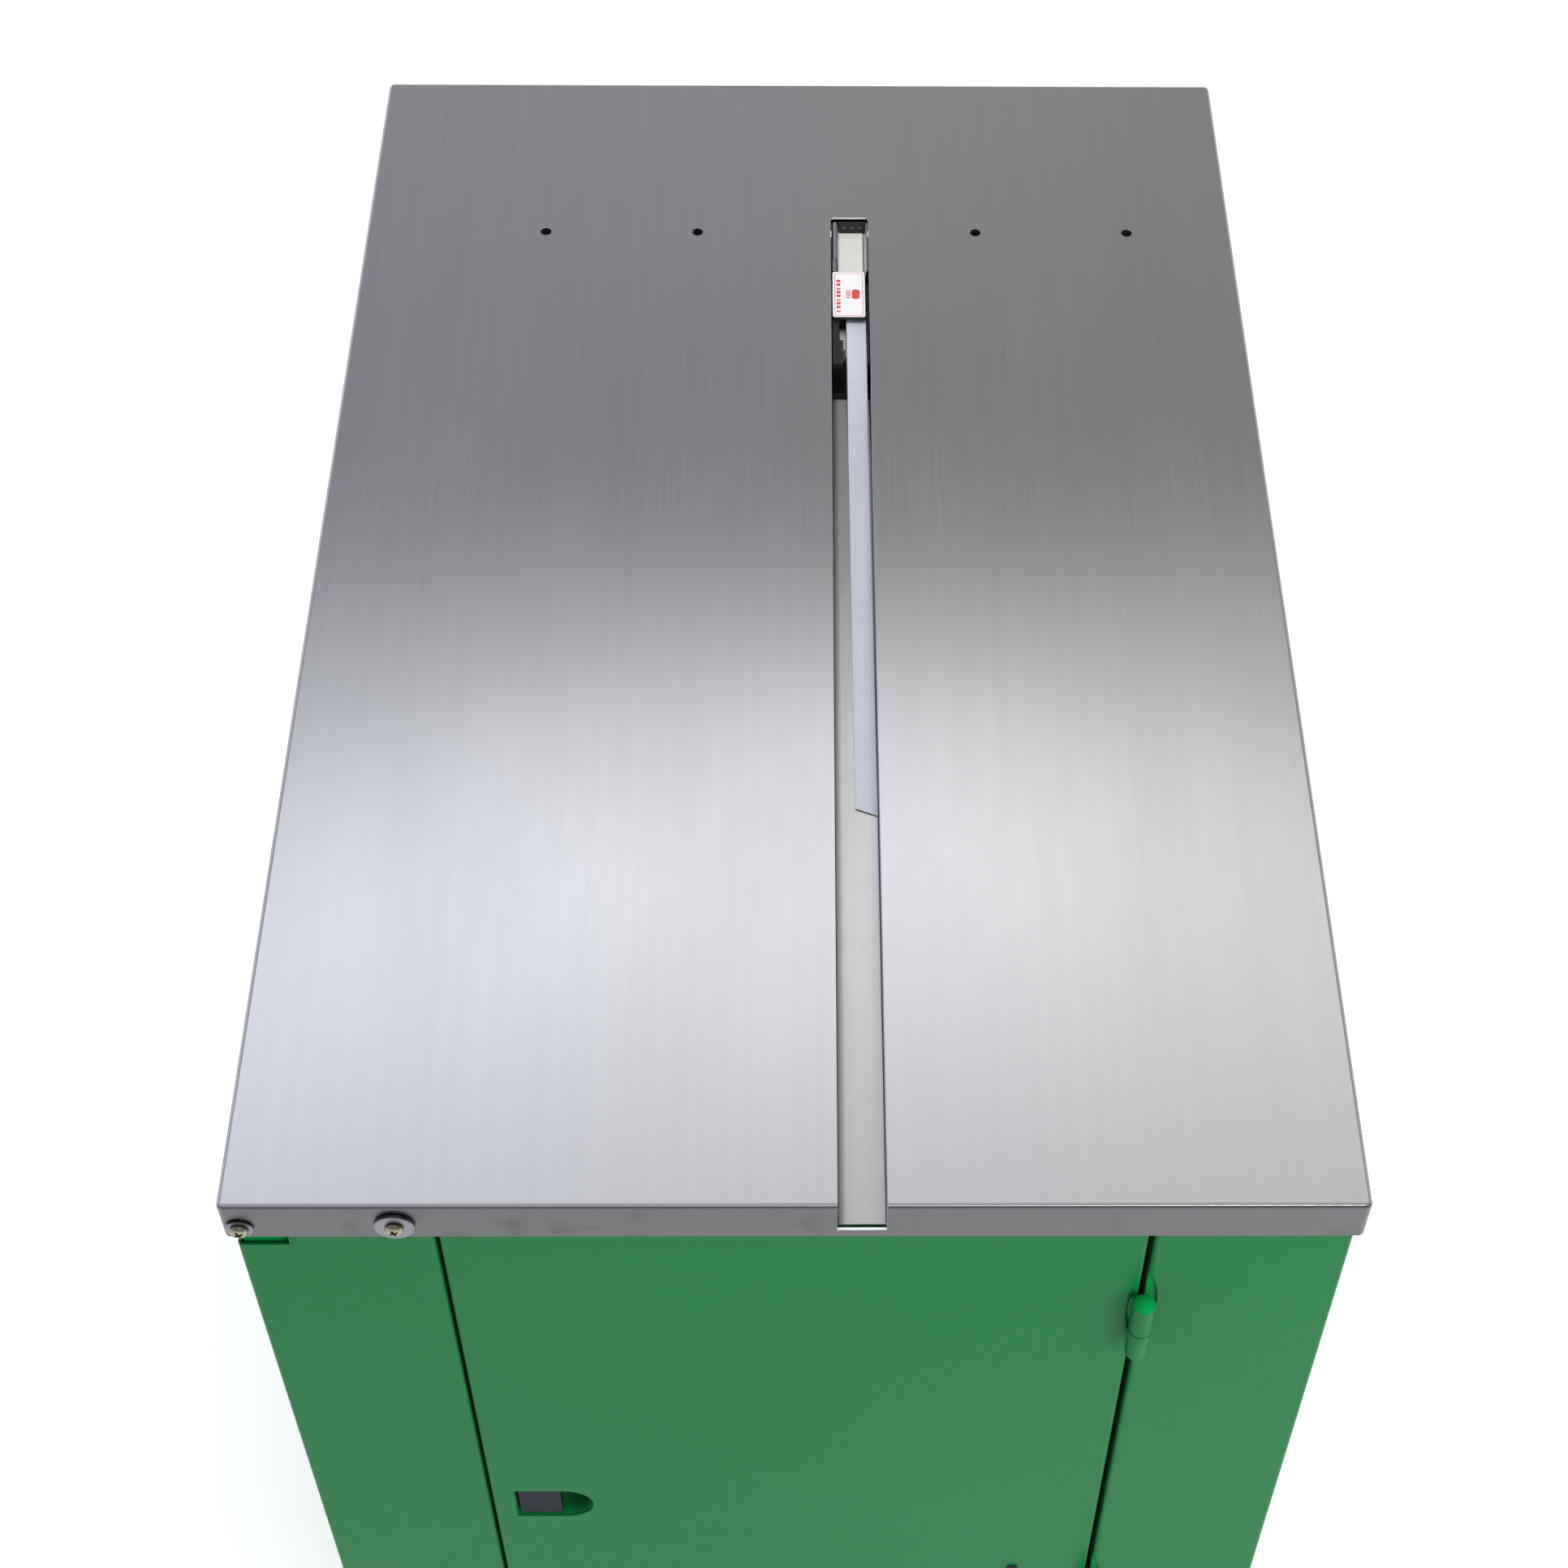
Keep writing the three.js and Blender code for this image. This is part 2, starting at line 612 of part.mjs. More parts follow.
const sideEar = block([26, 30], [195, 215], [706, 716]);
piece("front_gripper", join(follower(FRONT_GRIPPER_Y, 713), sideEar), LIGHT_STEEL);
piece("press_block", follower(PRESS_BLOCK_Y, 713), STEEL);
piece("rear_gripper", follower(REAR_GRIPPER_Y, 711), LIGHT_STEEL);

// A cam disc: a round base with one smooth lobe.
function cam(y, lobeAngle) {
  const outline = Array.from({ length: 24 }, (_, i) => {
    const angle = (2 * Math.PI * i) / 24;
    const lift = 8 * Math.max(0, Math.cos(angle - lobeAngle)) ** 2;
    return [CAM_AXIS.x + (16 + lift) * Math.cos(angle), CAM_AXIS.z + (16 + lift) * Math.sin(angle)];
  });
  return prism("y", y, outline);
}

const camshaft = join(
  bar("y", [146, 304.6], [CAM_AXIS.x, CAM_AXIS.z], 8, 16),
  cam([FRONT_GRIPPER_Y[0] + 5, FRONT_GRIPPER_Y[1] - 5], Math.PI),
  cam([PRESS_BLOCK_Y[0] + 1, PRESS_BLOCK_Y[1] - 1], (Math.PI * 5) / 4),
  cam([REAR_GRIPPER_Y[0] + 2, REAR_GRIPPER_Y[1] - 2], (Math.PI * 3) / 4),
);
piece("camshaft", camshaft, STEEL);

const COVER_Z = [731.2, 733.2];
const coverPlate = join(
  block([21.9, 42.7], [206, 250.5], COVER_Z),
  block([-20, 23], [218, 240], COVER_Z),
);
piece("cover_plate", coverPlate, DARK_STEEL);

const heaterBlade = join(
  block([46, 80], [240.5, 249.5], [726, 727.5]),
  block([66, 80], [236, 254], [708, 727.5]),
);
piece("heater_blade", heaterBlade, COPPER);

function stripRoller({ r, y }) {
  return join(
    bar("x", [29, 44], [y, ROLLER_Z], r, 24),
    bar("x", [29, 60], [y, ROLLER_Z], ROLLER_AXLE_R, 16),
    bar("x", [56, 60], [y, ROLLER_Z], 8, 16),
  );
}

piece("feed_roller", stripRoller(FEED_ROLLER), STEEL);
piece("pinch_roller", stripRoller(PINCH_ROLLER), RUBBER);

const guideRoller = join(
  bar("x", [28, 45], [GUIDE_ROLLER.y, GUIDE_ROLLER.z], GUIDE_ROLLER.r, 24),
  bar("x", [28, 60], [GUIDE_ROLLER.y, GUIDE_ROLLER.z], 5, 16),
  bar("x", [57, 60], [GUIDE_ROLLER.y, GUIDE_ROLLER.z], 8, 16),
);
piece("guide_roller", guideRoller, BLACK_PLASTIC);

// ---- Drive --------------------------------------------------------------------------------

function motor() {
  const { x, z } = MOTOR_AXIS;
  return join(
    bar("y", [230, 380], [x, z], 52, 24),
    block([x - 42, x + 42], [245, 360], [SHELF_TOP + GAP, z]),
    block([x - 30, x + 30], [275, 335], [z, z + 72]),
  );
}

function gearbox() {
  return join(
    block([-45, 75], [305, 384], [SHELF_TOP + GAP, 640]),
    block([-60, 90], [310, 380], [SHELF_TOP + GAP, SHELF_TOP + 12]),
  );
}

// A belt pulley with a groove between two rims, on its stub of shaft.
function pulley({ x, z }, radius, shaftFrom) {
  const [front, rear] = PULLEY_Y;
  return join(
    bar("y", [front, rear], [x, z], radius, 32),
    bar("y", [front, front + 2.5], [x, z], radius + 4, 32),
    bar("y", [rear - 2.5, rear], [x, z], radius + 4, 32),
    bar("y", [shaftFrom, rear + 4], [x, z], 9, 16),
  );
}

// The outline of a loop laid tightly round the two pulleys, lifted off them by a distance.
function beltOutline(lift) {
  const small = MOTOR_PULLEY_R + lift;
  const large = GEARBOX_PULLEY_R + lift;
  const apart = GEARBOX_AXIS.x - MOTOR_AXIS.x;
  const touch = Math.acos((small - large) / apart);
  return [
    ...arc([GEARBOX_AXIS.x, GEARBOX_AXIS.z], large, -touch, touch, 16),
    ...arc([MOTOR_AXIS.x, MOTOR_AXIS.z], small, touch, 2 * Math.PI - touch, 12),
  ];
}

const beltY = [PULLEY_Y[0] + 3, PULLEY_Y[1] - 3];
const belt = cut(
  prism("y", beltY, beltOutline(6)),
  prism("y", [beltY[0] - 1, beltY[1] + 1], beltOutline(0.6)),
);

piece("motor", motor(), MOTOR_GREY);
piece("gearbox", gearbox(), MOTOR_GREY);
piece("motor_pulley", pulley(MOTOR_AXIS, MOTOR_PULLEY_R, 380.4), STEEL);
piece("gearbox_pulley", pulley(GEARBOX_AXIS, GEARBOX_PULLEY_R, 384.4), STEEL);
piece("drive_belt", belt, RUBBER);

const transformer = join(
  block([130, 220], [180, 280], [97.3, 170]),
  block([145, 205], [165, 295], [110, 158]),
);
piece("transformer", transformer, COPPER);

// ---- Controls -----------------------------------------------------------------------------

const CONTROLS = { rocker: -28, feed: 22, reset: 66, timer: 115 };
const STEM_R = 4;

function controlPanel() {
  const { y, z, face } = RECESS;
  const rim = block([CABINET_X + GAP, CABINET_X + 1.8], [y[0] - 10, y[1] + 10], [z[0] - 10, z[1] + 10]);
  const tray = block([face - SHEET, CABINET_X + 1], y, z);
  const inside = block(
    [face, CABINET_X + 5],
    [y[0] + SHEET, y[1] - SHEET],
    [z[0] + SHEET, z[1] - SHEET],
  );
  const stemHoles = [CONTROLS.feed, CONTROLS.reset, CONTROLS.timer].map((at) =>
    bar("x", [face - 5, face + 5], [at, CONTROL_Z], STEM_R + GAP, 12),
  );
  const rockerHole = block(
    [face - 5, face + 5],
    [CONTROLS.rocker - 10.5, CONTROLS.rocker + 10.5],
    [CONTROL_Z - 17, CONTROL_Z + 17],
  );
  return cut(join(rim, tray), inside, ...stemHoles, rockerHole);
}

piece("control_panel", controlPanel(), DARK_STEEL);

function pushButton(y) {
  return join(
    bar("x", [RECESS.face + 5, RECESS.face + 13], [y, CONTROL_Z], 10, 20),
    bar("x", [RECESS.face - 8, RECESS.face + 6], [y, CONTROL_Z], STEM_R, 12),
  );
}

piece("feed_button", pushButton(CONTROLS.feed), BLACK_PLASTIC);
piece("reset_button", pushButton(CONTROLS.reset), RED_PLASTIC);

const timerKnob = join(
  bar("x", [RECESS.face + 0.6, RECESS.face + 16], [CONTROLS.timer, CONTROL_Z], 16, 24),
  bar("x", [RECESS.face - 8, RECESS.face + 1], [CONTROLS.timer, CONTROL_Z], STEM_R, 12),
  block(
    [RECESS.face + 15, RECESS.face + 19],
    [CONTROLS.timer - 2.5, CONTROLS.timer + 2.5],
    [CONTROL_Z - 14, CONTROL_Z + 14],
  ),
);
piece("timer_knob", timerKnob, BLACK_PLASTIC);

const ROCKER_TILT = THREE.MathUtils.degToRad(10);
const rocker = groupAt(RECESS.face, CONTROLS.rocker, CONTROL_Z);
rocker.rotation.y = ROCKER_TILT;
piece("power_rocker", block([-5, 6], [-9.5, 9.5], [-14, 14]), RED_PLASTIC, rocker);

// ---- Strap --------------------------------------------------------------------------------

// A ribbon whose middle line is a list of (y, z) points, between two x values.
function ribbon(spanX, line) {
  const half = STRAP_THICK / 2;
  const sides = line.map(([y, z], i) => {
    const [y0, z0] = line[Math.max(i - 1, 0)];
    const [y1, z1] = line[Math.min(i + 1, line.length - 1)];
    const long = Math.hypot(y1 - y0, z1 - z0);
    const [ny, nz] = [(-(z1 - z0) / long) * half, ((y1 - y0) / long) * half];
    return { over: [y + ny, z + nz], under: [y - ny, z - nz] };
  });
  return prism("x", spanX, [
    ...sides.map(({ over }) => over),
    ...sides.map(({ under }) => under).reverse(),
  ]);
}

// From the coil, under the guide roller, up between the feed rollers and out under the cover.
function strapRun() {
  const coilR = REEL.coilR + STRAP_THICK;
  const rollerR = STRAP_RISE_Y - GUIDE_ROLLER.y;
  const [dy, dz] = [GUIDE_ROLLER.y - REEL.y, GUIDE_ROLLER.z - REEL.z];
  const touch = Math.atan2(dz, dy) + Math.acos((coilR + rollerR) / Math.hypot(dy, dz));
  const bendR = 12;
  const coilPoint = [REEL.y + coilR * Math.cos(touch), REEL.z + coilR * Math.sin(touch)];
  const roundRoller = arc([GUIDE_ROLLER.y, GUIDE_ROLLER.z], rollerR, touch + Math.PI, 2 * Math.PI, 8);
  const bend = arc([STRAP_RISE_Y - bendR, STRAP_EXIT.z - bendR], bendR, 0, Math.PI / 2, 6);
  const line = [coilPoint, ...roundRoller, ...bend, [STRAP_EXIT.y + GAP, STRAP_EXIT.z]];
  return ribbon([STRAP_X, STRAP_X + STRAP_WIDTH], line);
}

// The free end: it comes out under the cover, sinks to the channel floor and ends in a slanted cut.
function strapTail() {
  const [highY, lowY] = [192, 92];
  const floorZ = CHANNEL_FLOOR + GAP + STRAP_THICK / 2;
  const slope = Array.from({ length: 11 }, (_, i) => {
    const t = i / 10;
    const sunk = t * t * (3 - 2 * t);
    return [highY + (lowY - highY) * t, STRAP_EXIT.z + (floorZ - STRAP_EXIT.z) * sunk];
  });
  const slant = 2.6;
  const line = [[STRAP_EXIT.y, STRAP_EXIT.z], ...slope, [TAIL_END_Y - slant, floorZ]];
  const straight = ribbon([STRAP_X, STRAP_X + STRAP_WIDTH], line);
  const cutOff = prism("z", [floorZ - 5, floorZ + 5], [
    [STRAP_X - 1, TAIL_END_Y + slant], [STRAP_X + STRAP_WIDTH + 1, TAIL_END_Y - slant],
    [STRAP_X + STRAP_WIDTH + 1, TAIL_END_Y - 20], [STRAP_X - 1, TAIL_END_Y - 20],
  ]);
  return cut(straight, cutOff).warp((point) => {
    point[0] += (TAIL_DRIFT_X * (STRAP_EXIT.y - point[1])) / (STRAP_EXIT.y - TAIL_END_Y);
  });
}

piece("strap_run", strapRun(), STRAP_PLASTIC);
piece("strap_tail", strapTail(), STRAP_PLASTIC);

// ---- Casters ------------------------------------------------------------------------------

const FORK_TOP = CABINET_BOTTOM - PAD_THICK - GAP;
const FORK_HALF = 15;
const LEG_THICK = 3;
const CASTER_AXLE_R = 5;

function casterFork() {
  const leg = [[-16, 82], [18, 82], [TRAIL + 11, 40], [TRAIL + 7, 27], [TRAIL - 8, 27], [-16, 66]];
  const outer = FORK_HALF + LEG_THICK;
  return join(
    bar("z", [80, FORK_TOP], [0, 0], 24, 20),
    block([-outer, outer], [-16, 17], [79, 82]),
    prism("x", [-outer, -FORK_HALF], leg),
    prism("x", [FORK_HALF, outer], leg),
    bar("x", [-outer - 3, outer + 3], [TRAIL, WHEEL_R], CASTER_AXLE_R, 12),
  );
}

function casterWheel() {
  return turned([
    [CASTER_AXLE_R + GAP, -13.5], [14, -13.5], [33, -11], [WHEEL_R, -7],
    [WHEEL_R, 7], [33, 11], [14, 13.5], [CASTER_AXLE_R + GAP, 13.5], [CASTER_AXLE_R + GAP, -13.5],
  ], 24).rotate([0, 90, 0]);
}

for (const { name, x, y } of casterPlaces()) {
  const group = groupAt(x, y, 0);
  piece(name + "_caster_fork", casterFork(), STEEL, group);
  const wheel = piece(name + "_caster_wheel", casterWheel(), RUBBER, group);
  wheel.position.set(0, TRAIL, WHEEL_R);
}

export default machine;
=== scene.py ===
"""Looks of the strapping machine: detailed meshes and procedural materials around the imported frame.

Everything is in metres in the frame of the CAD model: the origin is on the floor under the middle
of the table, +Y runs along the table towards the strapping head, and -Y is the end with the door.
"""
import math

import bmesh
import bpy
from mathutils import Matrix, Vector, noise


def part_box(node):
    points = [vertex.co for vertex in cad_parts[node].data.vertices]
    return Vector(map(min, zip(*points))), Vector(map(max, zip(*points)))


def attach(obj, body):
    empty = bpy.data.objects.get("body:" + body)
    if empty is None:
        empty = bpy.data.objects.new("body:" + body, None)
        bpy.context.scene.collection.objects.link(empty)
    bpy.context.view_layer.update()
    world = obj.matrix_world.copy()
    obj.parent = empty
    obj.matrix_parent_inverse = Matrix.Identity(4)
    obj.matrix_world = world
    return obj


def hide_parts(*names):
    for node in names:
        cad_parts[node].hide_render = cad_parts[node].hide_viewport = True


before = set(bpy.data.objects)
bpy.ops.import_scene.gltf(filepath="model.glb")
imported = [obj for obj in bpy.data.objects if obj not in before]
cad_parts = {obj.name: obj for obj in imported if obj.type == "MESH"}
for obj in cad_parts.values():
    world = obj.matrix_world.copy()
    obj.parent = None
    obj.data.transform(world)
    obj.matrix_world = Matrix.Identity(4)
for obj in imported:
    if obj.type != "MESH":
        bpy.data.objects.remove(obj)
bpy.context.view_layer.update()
scene = bpy.context.scene

MM = 0.001
SHEET = 1.5 * MM
BEND_R = 3 * MM
TABLE_BEND_R = 2.5 * MM
TURN = 2 * math.pi
QUARTER = math.pi / 2

# ---- Camera ----

CAMERA_AT = (0.0059, -1.1294, 1.899)
CAMERA_TURN = (-0.956, 38.679, 0.780)  # degrees: heading, tilt up from straight down, roll
CAMERA_LENS = 62.95
CAMERA_SHIFT = (-0.0335, 0.0173)


def make_camera():
    data = bpy.data.cameras.new("camera")
    data.lens = CAMERA_LENS
    data.sensor_width = 36
    data.shift_x, data.shift_y = CAMERA_SHIFT
    data.clip_start = 0.05
    data.clip_end = 60
    camera = bpy.data.objects.new("camera", data)
    heading, tilt, roll = (math.radians(angle) for angle in CAMERA_TURN)
    turn = Matrix.Rotation(heading, 4, "Z") @ Matrix.Rotation(tilt, 4, "X")
    camera.matrix_world = Matrix.Translation(CAMERA_AT) @ turn @ Matrix.Rotation(roll, 4, "Z")
    scene.collection.objects.link(camera)
    scene.camera = camera


make_camera()
scene.view_settings.view_transform = "Standard"

# ---- Materials ----


def add_node(tree, kind, inputs=None, **settings):
    """A new shader node with its settings, and its inputs set to values or linked to sockets."""
    node = tree.nodes.new(kind)
    for key, value in settings.items():
        setattr(node, key, value)
    for key, value in (inputs or {}).items():
        if isinstance(value, bpy.types.NodeSocket):
            tree.links.new(value, node.inputs[key])
        else:
            node.inputs[key].default_value = value
    return node


class Look:
    """A Principled material whose colour, roughness and relief come from procedural nodes."""

    def __init__(self, name, slot, colour, roughness, metallic=0.0, **uniform):
        self.material = bpy.data.materials.new(name)
        self.material.use_nodes = True
        self.tree = self.material.node_tree
        self.shader = self.tree.nodes["Principled BSDF"]
        self.colour = colour
        self.where = self.add("ShaderNodeTexCoord").outputs["Object"]
        self.relief = None
        self.shader.inputs["Base Color"].default_value = (*colour, 1)
        self.shader.inputs["Roughness"].default_value = roughness
        self.shader.inputs["Metallic"].default_value = metallic
        for socket, value in uniform.items():
            self.shader.inputs[socket.replace("_", " ")].default_value = value

    def add(self, kind, inputs=None, **settings):
        return add_node(self.tree, kind, inputs, **settings)

    def math(self, operation, a, b=0.0):
        return self.add("ShaderNodeMath", {0: a, 1: b}, operation=operation).outputs[0]

    def stretched(self, scale):
        return self.add("ShaderNodeMapping", {"Vector": self.where, "Scale": scale}).outputs[0]

    def noise(self, scale, detail=3.0, rough=0.55):
        """Noise with a number of features per metre along each axis."""
        spread = scale if isinstance(scale, tuple) else (scale, scale, scale)
        inputs = {"Vector": self.stretched(spread), "Scale": 1.0, "Detail": detail, "Roughness": rough}
        return self.add("ShaderNodeTexNoise", inputs).outputs[0]

    def remap(self, value, low, high, to_low=0.0, to_high=1.0):
        inputs = {0: value, 1: low, 2: high, 3: to_low, 4: to_high}
        return self.add("ShaderNodeMapRange", inputs).outputs[0]

    def mix(self, share, a, b):
        inputs = {0: share}
        for socket, colour in ((6, a), (7, b)):
            inputs[socket] = colour if isinstance(colour, bpy.types.NodeSocket) else (*colour, 1)
        return self.add("ShaderNodeMix", inputs, data_type="RGBA").outputs[2]

    def axis(self, index):
        return self.add("ShaderNodeSeparateXYZ", {0: self.where}).outputs[index]

    def tone(self, share, low, high):
        """Colour between two brightnesses of the base colour."""
        dark = tuple(c * low for c in self.colour)
        light = tuple(min(c * high, 1) for c in self.colour)
        return self.mix(share, dark, light)

    def two_tones(self, share, cloud, low, high):
        """A clouded low tone and a clouded high tone of the base colour, mixed by a share."""
        return self.mix(share, self.tone(cloud, *low), self.tone(cloud, *high))

    def drive(self, socket, value):
        """Links a value to one of the shader's own inputs."""
        self.tree.links.new(value, self.shader.inputs[socket])

    def paint(self, colour):
        self.drive("Base Color", colour)

    def polish(self, roughness):
        self.drive("Roughness", roughness)

    def bump(self, height, depth, strength=1.0):
        inputs = {"Height": height, "Distance": depth, "Strength": strength}
        if self.relief:
            inputs["Normal"] = self.relief
        self.relief = self.add("ShaderNodeBump", inputs).outputs[0]
        self.drive("Normal", self.relief)


def across(look):
    """Anisotropic reflections that spread along X, for metal brushed along Y."""
    look.drive("Tangent", look.add("ShaderNodeCombineXYZ", {0: 1.0, 1: 0.02, 2: 0.0}).outputs[0])


def brushed(name, colour, roughness, aniso, smudge, painted_shading=None):
    """Sheet brushed along Y: long fine lines, soft streaks and faint wipe marks."""
    look = Look(name, "stainless", colour, roughness, 1.0, Anisotropic=aniso)
    across(look)
    lines = look.noise((2600, 9, 2600), 4, 0.7)
    streaks = look.noise((160, 2.2, 160), 3, 0.6)
    wipes = look.noise((9, 3.5, 9), 4, 0.6)
    tone = look.two_tones(look.remap(streaks, 0.3, 0.7), lines, (0.93, 1.05), (0.97, 1.08))
    dull = tuple(c * (1 - 0.28 * smudge) for c in colour)
    spots = look.remap(look.noise(34, 5, 0.65), 0.55, 0.72, 0.0, smudge)
    painted = look.mix(spots, tone, dull)
    look.paint(painted_shading(look, painted) if painted_shading else painted)
    grain = look.remap(lines, 0.2, 0.8, roughness - 0.03, roughness + 0.03)
    look.polish(look.math("ADD", grain, look.remap(wipes, 0.3, 0.7, -0.02, 0.02)))
    look.bump(lines, 0.00002, 0.25)
    return look.material


def trough_shading(look, colour):
    """Painted shade along the trough's left foot and a painted cool reflection along its right one."""
    x = look.axis(0)
    left = look.remap(x, 21 * MM, 25 * MM, 0.85, 0.0)
    right = look.remap(x, 43.2 * MM, 45 * MM, 0.0, 0.6)
    return look.mix(right, look.mix(left, colour, (0.10, 0.10, 0.105)), (0.42, 0.40, 0.56))


def worked(name, slot, colour, roughness, metallic, marks=1.0, grain=900, **uniform):
    """General surface: cloudy tone, fine grain and small rubbed spots."""
    look = Look(name, slot, colour, roughness, metallic, **uniform)
    cloud = look.noise(18, 4, 0.6)
    fine = look.noise(grain, 3, 0.6)
    rubbed = look.remap(look.noise(75, 5, 0.7), 0.6, 0.72, 0.0, 0.5 * marks)
    body = look.tone(cloud, 1 - 0.14 * marks, 1 + 0.12 * marks)
    look.paint(look.mix(rubbed, body, tuple(min(c * 1.3 + 0.02, 1) for c in colour)))
    spread = 0.08 * marks
    look.polish(look.remap(fine, 0.25, 0.75, max(roughness - spread, 0.05), roughness + spread))
    look.bump(fine, 0.00004, 0.3)
    look.bump(cloud, 0.0004, 0.12)
    return look.material


def powder_coat(name, colour, specular):
    """Green powder coat: orange peel, a slight drift of tone and a few pale specks."""
    look = Look(name, "green_paint", colour, 0.42, Specular_IOR_Level=specular)
    drift = look.noise(3.2, 2, 0.5)
    mottle = look.noise(60, 3, 0.6)
    body = look.two_tones(mottle, drift, (0.93, 1.05), (0.97, 1.09))
    cells = look.add("ShaderNodeTexVoronoi", {"Vector": look.stretched((22, 22, 22)), "Scale": 1.0})
    speck = look.remap(cells.outputs["Distance"], 0.012, 0.02, 1.0, 0.0)
    chosen = look.math("GREATER_THAN", look.noise(7, 1, 0.5), 0.66)
    look.paint(look.mix(look.math("MULTIPLY", speck, chosen), body, (0.45, 0.6, 0.45)))
    look.polish(look.remap(look.noise(240, 3, 0.6), 0.3, 0.7, 0.36, 0.47))
    look.bump(look.noise(420, 2, 0.5), 0.00006, 0.35)
    look.bump(look.noise(14, 2, 0.5), 0.0006, 0.1)
    return look.material


def strap_plastic():
    """Pale strap embossed with crossing diagonal ridges."""
    look = Look("strap", "strap", (0.70, 0.715, 0.785), 0.42, Subsurface_Weight=0.08)
    x, y = look.axis(0), look.axis(1)
    pitch = TURN / (2.6 * MM)
    one = look.math("SINE", look.math("MULTIPLY", look.math("ADD", x, y), pitch))
    two = look.math("SINE", look.math("MULTIPLY", look.math("SUBTRACT", x, y), pitch))
    ridges = look.math("MAXIMUM", one, two)
    share = look.remap(ridges, -0.2, 0.9)
    cloud = look.noise((40, 8, 40), 3, 0.6)
    # The ridges' crests are painted lighter and the grooves darker: painted light and shade of the embossing,
    # over its bump.
    look.paint(look.two_tones(share, cloud, (0.66, 0.78), (0.96, 1.08)))
    look.polish(look.remap(cloud, 0.3, 0.7, 0.36, 0.48))
    look.bump(ridges, 0.00018, 0.7)
    return look.material


def wound_strap():
    """Strap wound on the reel: its sides show the turns as fine rings round the shaft."""
    look = Look("wound_strap", "strap", (0.64, 0.64, 0.72), 0.5)
    reel_lo, reel_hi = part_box("reel_shaft")
    centre = (reel_lo + reel_hi) / 2
    off_y = look.math("SUBTRACT", look.axis(1), centre.y)
    off_z = look.math("SUBTRACT", look.axis(2), centre.z)
    squares = look.math("ADD", look.math("POWER", off_y, 2.0), look.math("POWER", off_z, 2.0))
    radius = look.math("SQRT", squares)
    turns = look.math("SINE", look.math("MULTIPLY", radius, TURN / (1.2 * MM)))
    wobble = look.noise(30, 3, 0.6)
    look.paint(look.two_tones(look.remap(turns, -1, 1), wobble, (0.78, 0.9), (0.98, 1.1)))
    look.polish(look.remap(wobble, 0.3, 0.7, 0.42, 0.58))
    look.bump(turns, 0.00025, 0.6)
    return look.material


def laminated(name, colour, pitch, axis):
    """Stacked sheets or wound wire: fine ridges square to an axis."""
    look = Look(name, "copper", colour, 0.4, 0.85)
    ridges = look.math("SINE", look.math("MULTIPLY", look.axis(axis), TURN / pitch))
    cloud = look.noise(24, 4, 0.6)
    look.paint(look.two_tones(look.remap(ridges, -1, 1), cloud, (0.6, 0.8), (0.95, 1.15)))
    look.polish(look.remap(cloud, 0.3, 0.7, 0.32, 0.5))
    look.bump(ridges, 0.0002, 0.6)
    return look.material


def tyre_rubber():
    look = Look("rubber", "rubber", (0.03, 0.03, 0.031), 0.75)
    dust = look.remap(look.noise(45, 5, 0.7), 0.5, 0.75, 0.0, 0.45)
    look.paint(look.mix(dust, look.tone(look.noise(12), 0.8, 1.2), (0.10, 0.10, 0.095)))
    look.polish(look.remap(look.noise(500), 0.3, 0.7, 0.66, 0.85))
    look.bump(look.noise(900, 3, 0.6), 0.00008, 0.5)
    return look.material


STAINLESS = brushed("stainless", (0.70, 0.71, 0.72), 0.235, 0.8, 0.15)
# A much darker copy of the brushed stainless for the table's lip, with heavy smudged spots: painted shade on
# the lip.
SHADED_LIP = brushed("stainless_lip_painted_shade", (0.113, 0.117, 0.122), 0.36, 0.45, 1.0)
STAINLESS_CHANNEL = brushed("stainless_channel", (0.66, 0.66, 0.645), 0.26, 0.75, 0.5, trough_shading)
BEND_SHADE = brushed("bend_shade", (0.13, 0.132, 0.145), 0.3, 0.5, 0.3)
WALL_SHADE = brushed("channel_wall_shade", (0.15, 0.15, 0.16), 0.34, 0.5, 0.3)
# A cool purple-grey copy of the stainless for the trough's walls: a painted reflection.
WALL_REFLECTION = brushed("channel_wall_painted_reflection", (0.45, 0.43, 0.57), 0.34, 0.5, 0.3)
# Near-white, half-metallic cut metal: partly the edges' own colour, partly a painted highlight.
CUT_EDGE_HIGHLIGHT = worked("cut_edge_painted_highlight", "stainless", (0.92, 0.92, 0.91), 0.30, 0.35, 0.4, 1800)
NICKEL = worked("nickel", "nickel", (0.31, 0.285, 0.21), 0.24, 1.0, 0.8, 1500)
ZINC = worked("zinc", "nickel", (0.20, 0.205, 0.225), 0.33, 1.0, 1.2, 1300)
GREEN = powder_coat("green_paint", (0.006, 0.150, 0.037), 0.07)
# A brighter, more saturated copy of the green paint with almost no sheen: painted light, used on the hinge
# domes' tops, behind the hinge windows and behind the lip's corner notch.
LIT_GREEN = powder_coat("lit_green_paint", (0.002, 0.25, 0.05), 0.02)
STEEL = worked("steel", "steel", (0.50, 0.51, 0.53), 0.33, 1.0, 1.0, 1200)
DARK_STEEL = worked("dark_steel", "dark_steel", (0.036, 0.038, 0.042), 0.46, 0.6, 1.0, 1000)
BLACK_BLOCK = worked("black_block", "dark_steel", (0.020, 0.020, 0.023), 0.40, 0.3, 1.0, 1000)
CREAM = worked("cream", "light_steel", (0.76, 0.75, 0.70), 0.42, 0.0, 0.6, 800)
LIGHT_STEEL = worked("light_steel", "light_steel", (0.62, 0.60, 0.53), 0.42, 0.25, 0.7, 800)
BLACK_PLASTIC = worked("black_plastic", "black_plastic", (0.022, 0.022, 0.024), 0.42, 0.0, 0.7, 1400)
